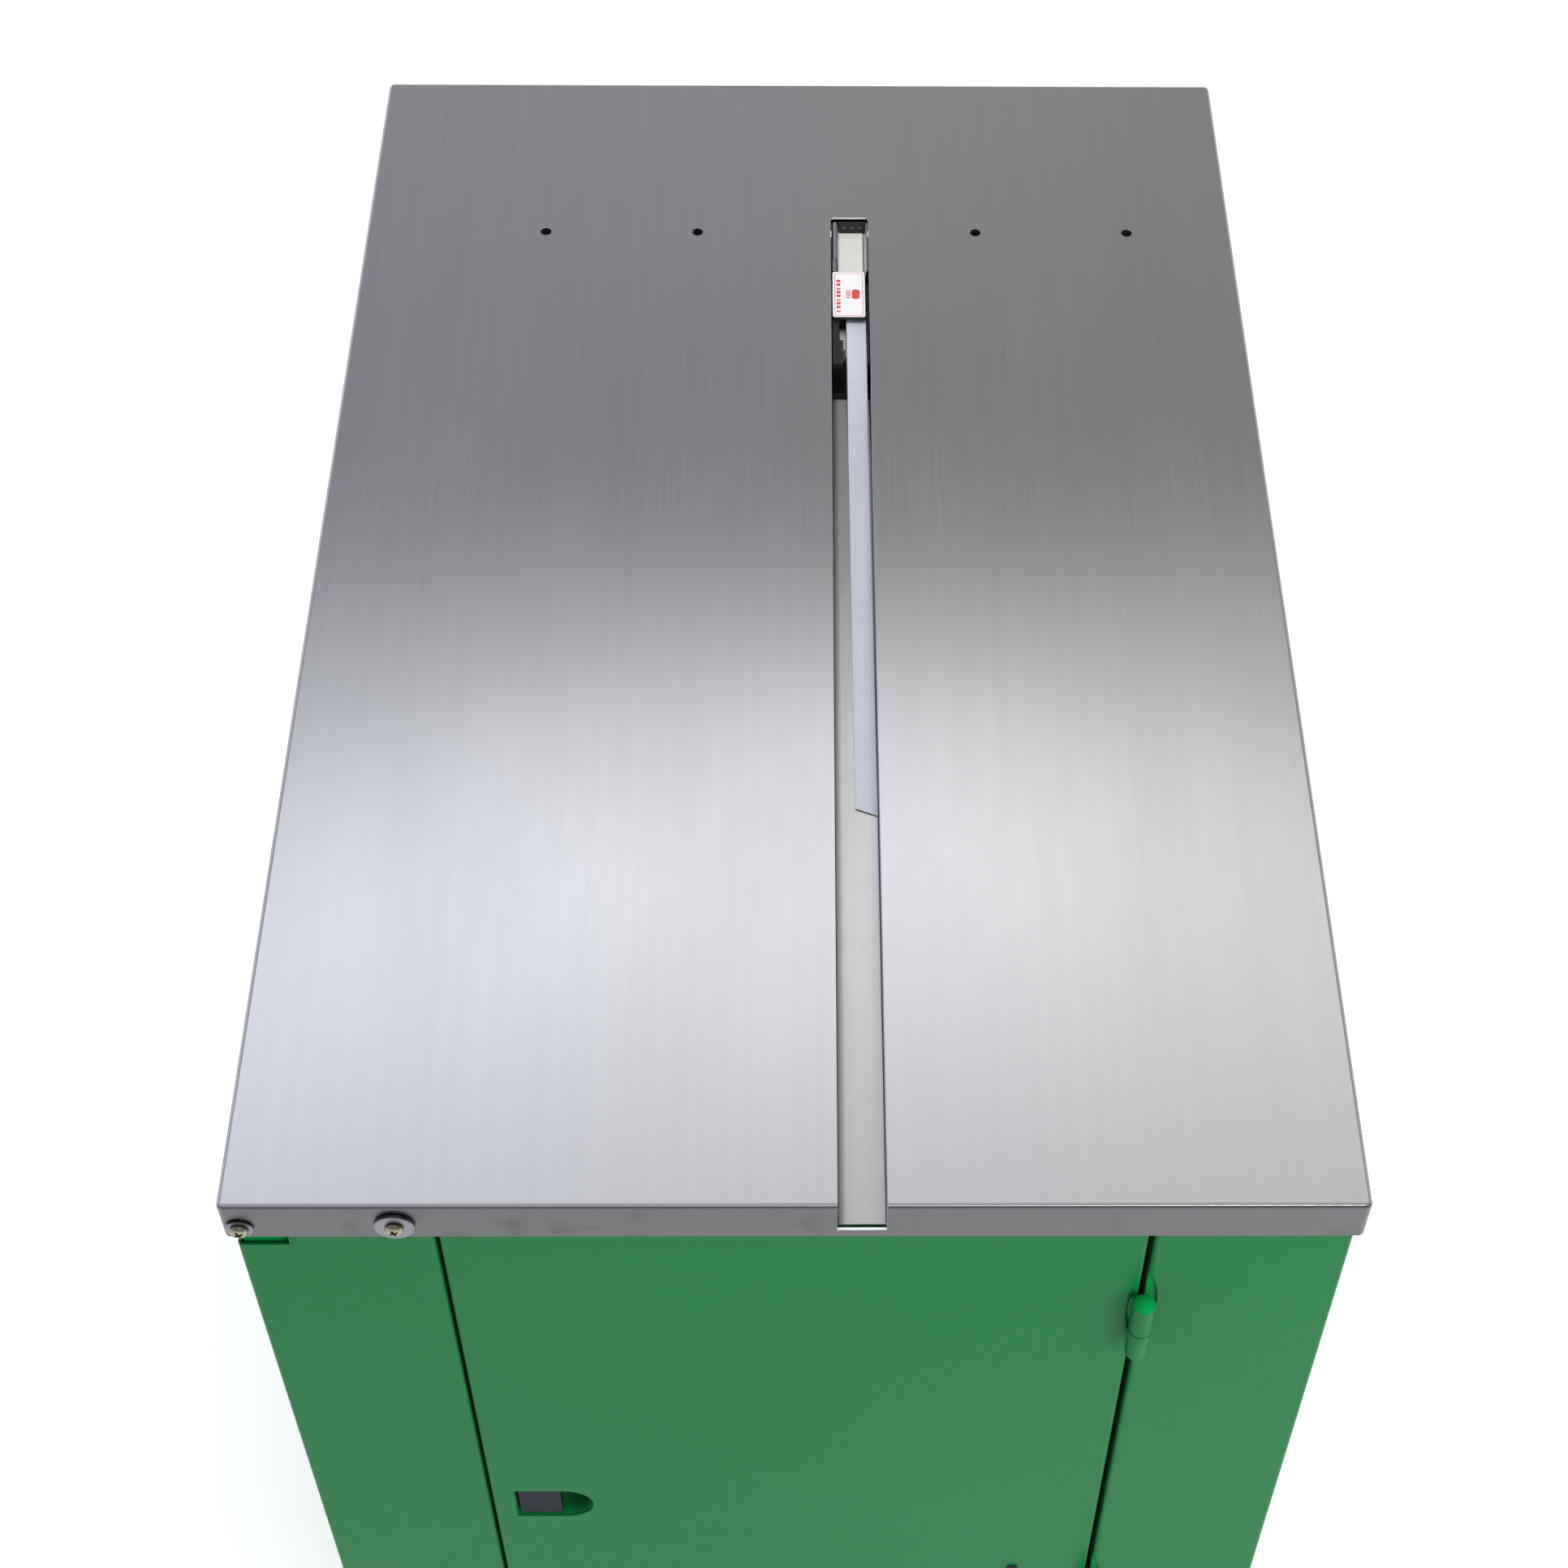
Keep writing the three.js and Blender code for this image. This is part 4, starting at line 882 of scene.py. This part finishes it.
def door():
    face, rim = DOOR_LO.y, DOOR_HI.y
    sheet = pan("y", (DOOR_LO.x, DOOR_HI.x), (DOOR_LO.z, DOOR_HI.z), face, rim, 2.4 * MM, 2.8 * MM)
    opening = prism("y", face - 5 * MM, face + 5 * MM, latch_outline(0))
    mesh = carved(sheet, opening, *hinge_windows())
    piece("door_sheet", mesh, GREEN, "door", ("door_panel",), 0.45 * MM)
    screw("door_stud", "y", -1, STUD_AT, face, DARK_STEEL, "door", 3.6 * MM, 2.4 * MM)


def latch_bowl():
    """The pressed bowl behind the latch opening."""
    lo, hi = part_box("latch_housing")
    front = DOOR_LO.y + SHEET + 0.3 * MM
    floor_y = hi.y - 2.0 * MM
    rows = [(front, -2.6 * MM), (front, 0.2 * MM), (front + 1.2 * MM, 0.7 * MM)]
    deep = floor_y - front
    rows += [(front + deep * (0.12 + 0.88 * math.sin(a)), 0.8 * MM + 5.2 * MM * (1 - math.cos(a)))
             for a in sweep(QUARTER, 8)[1:]]
    inside = [[place("y", u, v, y) for u, v in latch_outline(inset)] for y, inset in rows]
    back = [(hi.y, 5.0 * MM), (floor_y - 3 * MM, -0.6 * MM), (front + 1.2 * MM, -2.6 * MM)]
    outside = [[place("y", u, v, y) for u, v in latch_outline(inset)] for y, inset in back]
    mesh = skin([*reversed(inside), *reversed(outside)])
    piece("latch_bowl", mesh, GREEN, "door", ("latch_housing",), 0.25 * MM, 2, 50)


def hinge(name, bottom, top):
    """A weld-on barrel: the upper half on the door, the pin half on the frame."""
    socket_lo, socket_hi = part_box(name + "_hinge_socket")
    pin_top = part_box(name + "_hinge_pin")[1].z
    centre = (HINGE_X, HINGE_Y)
    radius = (socket_hi.x - socket_lo.x) / 2
    split = socket_lo.z
    dome = [(top - 4.6 * MM * (1 - math.sin(a)), radius * math.cos(a))
            for a in sweep(QUARTER, 9)[:-1]]
    shell = [(split + 0.4 * MM, radius - 0.5 * MM), (split + 0.9 * MM, radius), *dome, (top, 0.0)]
    bore = bar("z", centre, (split - 5 * MM, pin_top + 0.4 * MM), 3.3 * MM, 32)
    barrel = turned("z", centre, [(split + 0.4 * MM, 0.0), *shell], 48)
    cap = piece(name + "_hinge_barrel", carved(barrel, bore), GREEN, "door", (name + "_hinge_socket",),
                0.2 * MM)
    # The dome's upward faces get the lit copy of the paint: painted light from above.
    paint_faces(cap.data, LIT_GREEN, lambda at, way: at.z > top - 6 * MM and way.z > 0.3)
    foot = [(bottom, radius - 2.4 * MM), (bottom + 0.5 * MM, radius - 1.1 * MM),
            (bottom + 1.4 * MM, radius - 0.3 * MM), (bottom + 2.6 * MM, radius), (split - 0.8 * MM, radius),
            (split - 0.3 * MM, radius - 0.4 * MM), (split - 0.3 * MM, 3 * MM), (pin_top, 3 * MM)]
    piece(name + "_hinge_stub", turned("z", centre, foot, 48), GREEN, "cabinet", (name + "_hinge_pin",))
    # Plates behind the hinge windows in the lit copy of the paint: painted light in the hollows.
    scoop_front = FRONT_Y + SHEET + 0.2 * MM
    for part, body, x0, x1 in (("door", "door", HINGE_X - WINDOW_WIDE - MM, DOOR_HI.x - 0.3 * MM),
                               ("frame", "cabinet", JAMB_X[1] + 0.3 * MM, HINGE_X + WINDOW_WIDE + MM)):
        low, high = top - WINDOW_DROP - WINDOW_HALF - MM, top - WINDOW_DROP + WINDOW_HALF + MM
        outline = [(x0, low), (x1, low), (x1, high), (x0, high)]
        scoop = prism("y", scoop_front, scoop_front + 1.2 * MM, outline)
        piece(f"{name}_{part}_scoop", scoop, LIT_GREEN, body, (), 0.3 * MM)
    for part, body, side, low, high in (("socket", "door", -1, split + 4 * MM, top - 7 * MM),
                                        ("stub", "cabinet", 1, bottom + 4 * MM, split - 4 * MM)):
        weld_bead(f"{name}_{part}_weld", body, side, radius, low, high)


def weld_bead(name, body, side, radius, low, high):
    """A row of overlapping weld ripples between barrel and sheet."""
    loops = []
    steps = 40
    for i in range(steps + 1):
        t = i / steps
        z = low + (high - low) * t
        swell = 0.25 + 0.75 * math.sin(math.pi * t) ** 0.35
        ripple = 1 + 0.16 * math.sin(t * (high - low) / (1.5 * MM) * math.pi)
        r = 2.0 * MM * swell * ripple * (1 + 0.2 * noise.noise(Vector((z * 300, side, 1))))
        centre = Vector((HINGE_X + side * radius * 0.86, FRONT_Y - 1.2 * MM, z))
        loops.append([centre + Vector((r * math.cos(a), r * 0.8 * math.sin(a), 0))
                      for a in sweep(TURN, 10)[:-1]])
    piece(name, skin(loops), GREEN, body)


def paddle():
    """The latch's lever plate, its face a millimetre inside the door's face."""
    mesh = cad_mesh("latch_paddle")
    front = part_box("latch_paddle")[0].y
    proud, taller, narrower, near = 2 * MM, 1.5 * MM, 1.2 * MM, 0.2 * MM
    for vertex in mesh.vertices:
        if vertex.co.y < front + near:
            vertex.co.y -= proud
            if vertex.co.x < PADDLE_LEFT:
                vertex.co.x += narrower
        if vertex.co.y < front + 5.2 * MM and abs(vertex.co.z - PADDLE_LOW) < near:
            vertex.co.z -= taller
    piece("latch_paddle_form", mesh, SLATE, "latch", ("latch_paddle",), 0.4 * MM, 3)


door()
latch_bowl()
paddle()
for hinge_name, (hinge_bottom, hinge_top) in HINGES.items():
    hinge(hinge_name, hinge_bottom, hinge_top)

# ---- Strapping head ----


def head():
    soften_all(
        ("head_frame", DARK_STEEL, "cabinet", 0.8),
        ("left_guide_block", DARK_STEEL, "cabinet", 0.5),
        ("right_guide_block", BLACK_BLOCK, "cabinet", 0.4),
        ("mechanism_shelf", GREEN, "cabinet", 0.4),
        ("front_gripper", CREAM, "front_gripper", 0.5),
        ("press_block", STEEL, "press_block", 0.5),
        ("rear_gripper", LIGHT_STEEL, "rear_gripper", 0.5),
        ("heater_blade", COPPER, "heater_blade", 0.3),
        ("cover_plate", BLACK_BLOCK, "cover_plate", 0.3),
        ("camshaft", STEEL, "camshaft", 0.5))


def cover_label():
    """A plain printed label on the cover: a thin frame, a solid mark, bars and ticks."""
    lo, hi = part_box("cover_plate")
    left = 21.2 * MM
    top = hi.z
    edge = 0.4 * MM
    u, v = (left + edge, hi.x - edge), (lo.y + edge * 1.6, hi.y - edge * 0.8)
    base = prism("z", top - 0.02 * MM, top + 0.08 * MM, round_box(u, v, 1.4 * MM, 5))
    piece("cover_label", base, WHITE_PRINT, "cover_plate")
    inset, line = 1.2 * MM, 0.35 * MM
    loops = []
    low, high = top + 0.07 * MM, top + 0.12 * MM
    for d, z in ((inset, low), (inset, high), (inset + line, high), (inset + line, low)):
        outline = round_box((u[0] + d, u[1] - d), (v[0] + d, v[1] - d), 1.6 * MM, 5)
        loops.append([place("z", a, b, z) for a, b in outline])
    piece("label_frame", skin(loops, ring=True), RED_PRINT, "cover_plate")
    middle_y = (v[0] + v[1]) / 2
    for i in range(9):
        y = v[0] + 4.6 * MM + i * 3.6 * MM
        tall = (2.4 if i % 3 else 1.3) * MM
        stroke = box((u[0] + 2.4 * MM, y, low), (u[0] + 5.0 * MM, y + tall, high))
        piece(f"label_bar_{i + 1}", stroke, RED_PRINT, "cover_plate")
    mark = round_box((u[1] - 8.4 * MM, u[1] - 3.4 * MM), (middle_y - 4.6 * MM, middle_y + 4.6 * MM), 1.8 * MM)
    piece("label_mark", prism("z", low, high, mark), RED_PRINT, "cover_plate")
    for i in range(4):
        y = middle_y + (i - 2) * 2 * MM + 0.5 * MM
        tick = box((u[1] - 12.4 * MM, y, low), (u[1] - 9.2 * MM, y + 0.9 * MM, high))
        piece(f"label_tick_{i + 1}", tick, RED_PRINT, "cover_plate")


def insert_guide():
    """The pocket beyond the cover: pale floor, rolled left edge, bright right cheek, end wall."""
    lo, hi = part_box("insert_guide")
    floor_top = lo.z + 2 * MM
    floor = box((lo.x + 4.2 * MM, lo.y, lo.z), (hi.x - 3 * MM, hi.y - 1.4 * MM, floor_top))
    piece("insert_floor", floor, CREAM, "cabinet", ("insert_guide",), 0.4 * MM)
    for name, y0, y1, reach in (("insert_roll_far", lo.y + 12 * MM, hi.y - 0.5 * MM, 4.4 * MM),
                                ("insert_roll_near", lo.y, lo.y + 11.6 * MM, 3.0 * MM)):
        r = reach / 2
        top = hi.z - 0.4 * MM
        outline = [(lo.x, lo.z), (lo.x + reach, lo.z)]
        outline += [(lo.x + r + r * math.cos(a), top - r + r * math.sin(a)) for a in sweep(math.pi, 12)]
        piece(name, prism("y", y0, y1, outline), STEEL, bevel=0.3 * MM)
    cheek_top = hi.z - 0.3 * MM
    cheek = [(hi.x - 2.9 * MM, lo.z), (hi.x, lo.z), (hi.x, cheek_top), (hi.x - 1.2 * MM, cheek_top)]
    piece("insert_cheek", prism("y", lo.y, hi.y - 1.5 * MM, cheek), STEEL, bevel=0.3 * MM)
    wall = box((lo.x + 4.6 * MM, hi.y - 1.3 * MM, lo.z), (hi.x, hi.y, hi.z - 0.6 * MM))
    piece("insert_end_wall", wall, DARK_STEEL, bevel=0.3 * MM)
    for i in range(3):
        centre = (lo.x + (8.5 + 5.2 * i) * MM, hi.z - 4.4 * MM)
        screw(f"end_wall_screw_{i + 1}", "y", -1, centre, hi.y - 1.3 * MM, ZINC, "cabinet",
              0.95 * MM, 0.6 * MM)


head()
cover_label()
insert_guide()

# ---- Drive and feed ----


def drive():
    soften_all(
        ("motor", MOTOR_GREY, "cabinet", 1.2),
        ("feed_roller", STEEL, "feed_roller", 0.4),
        ("pinch_roller", RUBBER, "pinch_roller", 0.4),
        ("guide_roller", BLACK_PLASTIC, "guide_roller", 0.5),
        ("gearbox", MOTOR_GREY, "cabinet", 1.5, 3),
        ("motor_pulley", STEEL, "motor_pulley", 0.4),
        ("gearbox_pulley", STEEL, "gearbox_pulley", 0.4),
        ("drive_belt", RUBBER, "cabinet", 0.5))


def transformer():
    """Laminated core with two wound coils and its terminal board."""
    lo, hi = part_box("transformer")
    softened("transformer", LAMINATION, "cabinet", 0.8 * MM)
    middle = (lo + hi) / 2
    for name, y0, y1 in (("front_coil", lo.y + 0.5 * MM, lo.y + 15.5 * MM),
                         ("rear_coil", hi.y - 15.5 * MM, hi.y - 0.5 * MM)):
        outline = round_box((lo.x + 13 * MM, hi.x - 13 * MM), (lo.z + 11 * MM, hi.z - 10 * MM), 9 * MM)
        piece(name, prism("y", y0, y1, outline), COPPER, bevel=2 * MM, segments=3)
    board = box((middle.x - 30 * MM, middle.y - 22 * MM, hi.z - 0.2 * MM),
                (middle.x + 30 * MM, middle.y + 22 * MM, hi.z + 4 * MM))
    piece("terminal_board", board, BLACK_PLASTIC, bevel=0.8 * MM)
    for i in range(5):
        spot = (middle.x + (i - 2) * 11 * MM, middle.y)
        screw(f"terminal_{i + 1}", "z", 1, spot, hi.z + 4 * MM, NICKEL, "cabinet", 3 * MM, 1.6 * MM)


drive()
transformer()

# ---- Strap reel ----

CORE_SHARE = 98 / 165  # the core's radius over the full coil's

def reel():
    """The shaft, the two flanges, the strap wound between them turn beside turn, and the brackets."""
    soften_all(
        ("reel_shaft", STEEL, "reel", 0.8),
        ("reel_flange_left", STEEL, "reel", 0.6),
        ("reel_flange_right", STEEL, "reel", 0.6))
    lo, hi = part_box("strap_coil")
    outer = (hi.z - lo.z) / 2
    inner = outer * CORE_SHARE
    turns = round((hi.x - lo.x) / STRAP_WIDTH)
    pitch = (hi.x - lo.x) / turns
    profile = [(lo.x + 0.3 * MM, inner + 0.6 * MM)]
    for i in range(turns):
        start = lo.x + i * pitch
        lift = outer - (0.5 + 0.9 * (i % 3) / 2) * MM
        profile += [(start + 0.3 * MM, lift - 0.7 * MM), (start + 0.7 * MM, lift),
                    (start + pitch - 0.7 * MM, lift), (start + pitch - 0.3 * MM, lift - 0.7 * MM)]
    profile.append((hi.x - 0.3 * MM, inner + 0.6 * MM))
    coil = turned("x", middle_of("reel_shaft", "x"), profile, 96, ring=True)
    piece("strap_winding", coil, STRAP_COIL, "reel", ("strap_coil",))
    soften_all(
        ("reel_bracket_left", GREEN, "cabinet", 0.8),
        ("reel_bracket_right", GREEN, "cabinet", 0.8))


reel()

# ---- Controls ----

INSET = 5.2 * MM  # from the panel's edges in to its bezel screws
KNOB_RIBS = 18
DIAL_TICKS = 11

def control_face():
    """The recessed panel with its bezel screws, dial ticks and button rings."""
    lo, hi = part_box("control_panel")
    softened("control_panel", DARK_STEEL, "cabinet", 0.6 * MM, 3)
    near, far, low, high = lo.y + INSET, hi.y - INSET, lo.z + INSET, hi.z - INSET
    for i, spot in enumerate(((near, low), (far, low), (far, high), (near, high))):
        screw(f"bezel_screw_{i + 1}", "x", 1, spot, hi.x, NICKEL, "cabinet", 2.6 * MM, 1.5 * MM)
    face = lo.x + 1.5 * MM
    for name in ("feed_button", "reset_button"):
        button_lo, button_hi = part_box(name)
        centre = middle_of(name, "x")
        r = (button_hi.y - button_lo.y) / 2
        profile = [(face, r + 0.8 * MM), (face, r + 4 * MM), (face + 2 * MM, r + 4 * MM),
                   (face + 3.4 * MM, r + 2.8 * MM), (face + 3.4 * MM, r + 0.8 * MM)]
        piece(name + "_collar", turned("x", centre, profile, 48, ring=True), STEEL, bevel=0.3 * MM)
        look = RED if name == "reset_button" else BLACK_PLASTIC
        stem, top = button_lo.x, button_hi.x
        cap = [(stem, 0.0), (stem, 4 * MM), (face + 4.4 * MM, 4 * MM), (face + 4.9 * MM, r - 0.6 * MM),
               (top - 1.6 * MM, r), (top - 0.4 * MM, r - 0.9 * MM), (top, r - 2.4 * MM),
               (top - 0.5 * MM, r * 0.45), (top - 0.6 * MM, 0.0)]
        piece(name + "_cap", turned("x", centre, cap, 48), look, name, (name,))
    knob(face)
    softened("power_rocker", RED, "power_rocker", 1.2 * MM, 3)
    wide, tall = 12.4 * MM, 18.6 * MM
    centre = middle_of("power_rocker", "x")
    loops = []
    for grow, x in ((0.0, face), (0.0, face + 2.2 * MM), (-1.4 * MM, face + 2.8 * MM),
                    (-1.4 * MM, face)):
        outline = round_box((centre[0] - wide - grow, centre[0] + wide + grow),
                            (centre[1] - tall - grow, centre[1] + tall + grow), 2.4 * MM)
        loops.append([place("x", u, v, x) for u, v in outline])
    piece("rocker_frame", skin(loops, ring=True), BLACK_PLASTIC, bevel=0.3 * MM)


def knob(face):
    """A fluted knob with a pointer ridge, over a ring of dial ticks."""
    lo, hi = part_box("timer_knob")
    centre = middle_of("timer_knob", "x")
    r = (hi.y - lo.y) / 2
    softened("timer_knob", BLACK_PLASTIC, "timer_knob", 0.8 * MM, 3)
    for i, spot in enumerate(circle(centre, r - 0.6 * MM, KNOB_RIBS)):
        rib = bar("x", spot, (face + 1.2 * MM, hi.x - 4.4 * MM), 1.1 * MM, 12, 0.4 * MM)
        piece(f"knob_rib_{i + 1}", rib, BLACK_PLASTIC, "timer_knob")
    pointer = box((hi.x - 0.3 * MM, centre[0] - 0.5 * MM, centre[1] + 5 * MM),
                  (hi.x + 0.15 * MM, centre[0] + 0.5 * MM, centre[1] + 13 * MM))
    piece("knob_pointer", pointer, WHITE_PRINT, "timer_knob")
    for i in range(DIAL_TICKS):
        angle = math.radians(225 - 27 * i)
        along = Vector((0, math.cos(angle), math.sin(angle)))
        side = Vector((0, -math.sin(angle), math.cos(angle)))
        long = (3.4 if i % 5 == 0 else 2.2) * MM
        loops = []
        for x in (face - 0.02 * MM, face + 0.1 * MM):
            middle = Vector((x, *centre))
            loops.append([middle + along * (r + 3 * MM + a * long) + side * b * 0.4 * MM
                          for a, b in ((0, -1), (1, -1), (1, 1), (0, 1))])
        piece(f"dial_tick_{i + 1}", skin(loops), GREY_PRINT, "cabinet")


control_face()

# ---- Casters ----

# Left halves of the wheel's profiles, as shares of its half width and of its radius.
TREAD = ((-0.62, 0.84), (-0.75, 0.9), (-0.7, 0.96), (-0.5, 0.99), (-0.25, 1.0))
HUB = ((-1, 0.16), (-1, 0.36), (-0.62, 0.4), (-0.45, 0.66), (-0.58, 0.72), (-0.58, 0.8))
# The race's profile: millimetres below the fork's top, and radius in millimetres.
RACE = ((9.5, 17), (9.5, 24.4), (7, 25.4), (3, 25.4), (1, 23.6), (1, 17))

def caster(corner):
    """A swivel caster: a fork with its ball race and axle nuts, a hub and a rounded tyre."""
    fork, wheel = corner + "_caster_fork", corner + "_caster_wheel"
    turning, rolling = corner + "_fork", corner + "_wheel"
    softened(fork, STEEL, turning, 0.8 * MM, 3)
    lo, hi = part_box(wheel)
    centre = middle_of(wheel, "x")
    middle, half = (lo.x + hi.x) / 2, (hi.x - lo.x) / 2
    r = (hi.z - lo.z) / 2
    tyre = [(middle + half * a, r * b) for a, b in (*mirrored(TREAD), (0.5, 0.68), (-0.5, 0.68))]
    piece(wheel + "_tyre", turned("x", centre, tyre, 72, ring=True), RUBBER, rolling, (wheel,))
    rim = [(middle + half * a, r * b) for a, b in mirrored(HUB)]
    piece(wheel + "_hub", turned("x", centre, rim, 48, ring=True), MOTOR_GREY, rolling, (), 0.5 * MM)
    fork_lo, fork_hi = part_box(fork)
    swivel = ((fork_lo.x + fork_hi.x) / 2, fork_lo.y + 24 * MM)
    race = [(fork_hi.z - drop * MM, reach * MM) for drop, reach in RACE]
    piece(fork + "_race", turned("z", swivel, race, 48, ring=True), STEEL, turning, (), 0.4 * MM)
    for side, face, depth in (("left", fork_lo.x, 3.4 * MM), ("right", fork_hi.x, -3.4 * MM)):
        nut = prism("x", face, face + depth, circle(centre, 7 * MM, 6))
        piece(f"{corner}_axle_nut_{side}", nut, NICKEL, turning, (), 0.5 * MM)


for corner_name in ("front_left", "front_right", "rear_left", "rear_right"):
    caster(corner_name)

# ---- Stage ----

# Brightness of the surround by height in degrees, behind the object and in front of it.
SKY = ((0, 0.56), (7, 0.52), (12, 0.30), (24, 0.292), (33, 0.208), (36, 0.189), (38, 0.198), (40, 0.188),
       (42, 0.148), (43.5, 0.103), (45, 0.102), (46, 0.13), (47, 0.238), (48, 0.413), (49, 0.675),
       (50, 0.90), (51, 0.933), (52, 0.90), (53.5, 0.80), (55, 0.65), (57, 0.48), (60, 0.406), (70, 0.34),
       (90, 0.28))
SKY_FRONT = ((0, 0.56), (7, 0.50), (12, 0.22), (25, 0.18), (45, 0.20), (70, 0.25), (90, 0.28))
SKY_STRENGTH = 1.8
FLOOR_GLOW = 0.42
FLOOR_HALF = 14.0  # metres
SKY_LEAN = 0.02
# Tint of the surround from its left to its right.
SKY_SIDES = ((-0.2, (0.82, 0.835, 0.95)), (0.0, (1.0, 1.0, 1.0)), (0.2, (0.70, 0.705, 0.70)))


def fill_ramp(ramp, bands):
    """Stops of a colour ramp from bands of brightness by height in degrees."""
    stops = ramp.color_ramp.elements
    while len(stops) < len(bands):
        stops.new(0.5)
    for stop, (height, value) in zip(stops, bands):
        stop.position = math.sin(math.radians(height))
        stop.color = (value, value, value, 1)
    return ramp.outputs[0]


def sky():
    """Soft studio surround: bands of brightness by height behind the object, dimmer in front."""
    world = bpy.data.worlds.new("studio")
    scene.world = world
    world.use_nodes = True
    tree = world.node_tree
    direction = add_node(tree, "ShaderNodeTexCoord").outputs["Generated"]
    x, y, z = add_node(tree, "ShaderNodeSeparateXYZ", {0: direction}).outputs
    lean = add_node(tree, "ShaderNodeMath", {0: x, 1: SKY_LEAN, 2: z}, operation="MULTIPLY_ADD").outputs[0]
    back = fill_ramp(add_node(tree, "ShaderNodeValToRGB", {0: lean}), SKY)
    front = fill_ramp(add_node(tree, "ShaderNodeValToRGB", {0: z}), SKY_FRONT)
    behind = add_node(tree, "ShaderNodeMapRange", {0: y, 1: -0.1, 2: 0.15}).outputs[0]
    bands = add_node(tree, "ShaderNodeMix", {0: behind, 6: front, 7: back}, data_type="RGBA").outputs[2]
    ends = {0: x, 1: SKY_SIDES[0][0], 2: SKY_SIDES[-1][0]}
    tint = add_node(tree, "ShaderNodeValToRGB", {0: add_node(tree, "ShaderNodeMapRange", ends).outputs[0]})
    tint.color_ramp.elements.new(0.5)
    for stop, (_, colour) in zip(tint.color_ramp.elements, SKY_SIDES):
        stop.color = (*colour, 1)
    inputs = {0: 1.0, 6: bands, 7: tint.outputs[0]}
    product = add_node(tree, "ShaderNodeMix", inputs, data_type="RGBA", blend_type="MULTIPLY").outputs[2]
    background = tree.nodes["Background"]
    tree.links.new(product, background.inputs["Color"])
    background.inputs["Strength"].default_value = SKY_STRENGTH


def soft_box(name, at, toward, size, power, glossy=True):
    data = bpy.data.lights.new(name, "AREA")
    data.shape = "SQUARE"
    data.size = size
    data.energy = power
    light = bpy.data.objects.new(name, data)
    light.location = at
    light.visible_glossy = glossy
    light.rotation_euler = (Vector(toward) - Vector(at)).to_track_quat("-Z", "Y").to_euler()
    scene.collection.objects.link(light)


def floor():
    look = Look("floor_paper", "light_steel", (0.93, 0.93, 0.93), 0.8)
    look.paint(look.tone(look.noise(2.5), 0.995, 1.0))
    look.shader.inputs["Emission Color"].default_value = (1, 1, 1, 1)
    look.shader.inputs["Emission Strength"].default_value = FLOOR_GLOW
    mesh = box((-FLOOR_HALF, -FLOOR_HALF, -0.02), (FLOOR_HALF, FLOOR_HALF, -0.0005))
    mesh.materials.append(look.material)
    obj = bpy.data.objects.new("floor", mesh)
    scene.collection.objects.link(obj)


sky()
floor()
soft_box("key", (1.7, -1.7, 1.5), (0.2, -0.4, 0.5), 1.1, 32, glossy=False)
soft_box("fill", (-2.4, -1.6, 1.6), (0, -0.2, 0.4), 1.4, 2)
soft_box("top", (0, -0.5, 3.3), (0, -0.4, 0.5), 1.4, 50, glossy=False)
soft_box("spark", (0.6, -1.9, 2.6), (0, -0.4, 0.6), 0.3, 2.5)
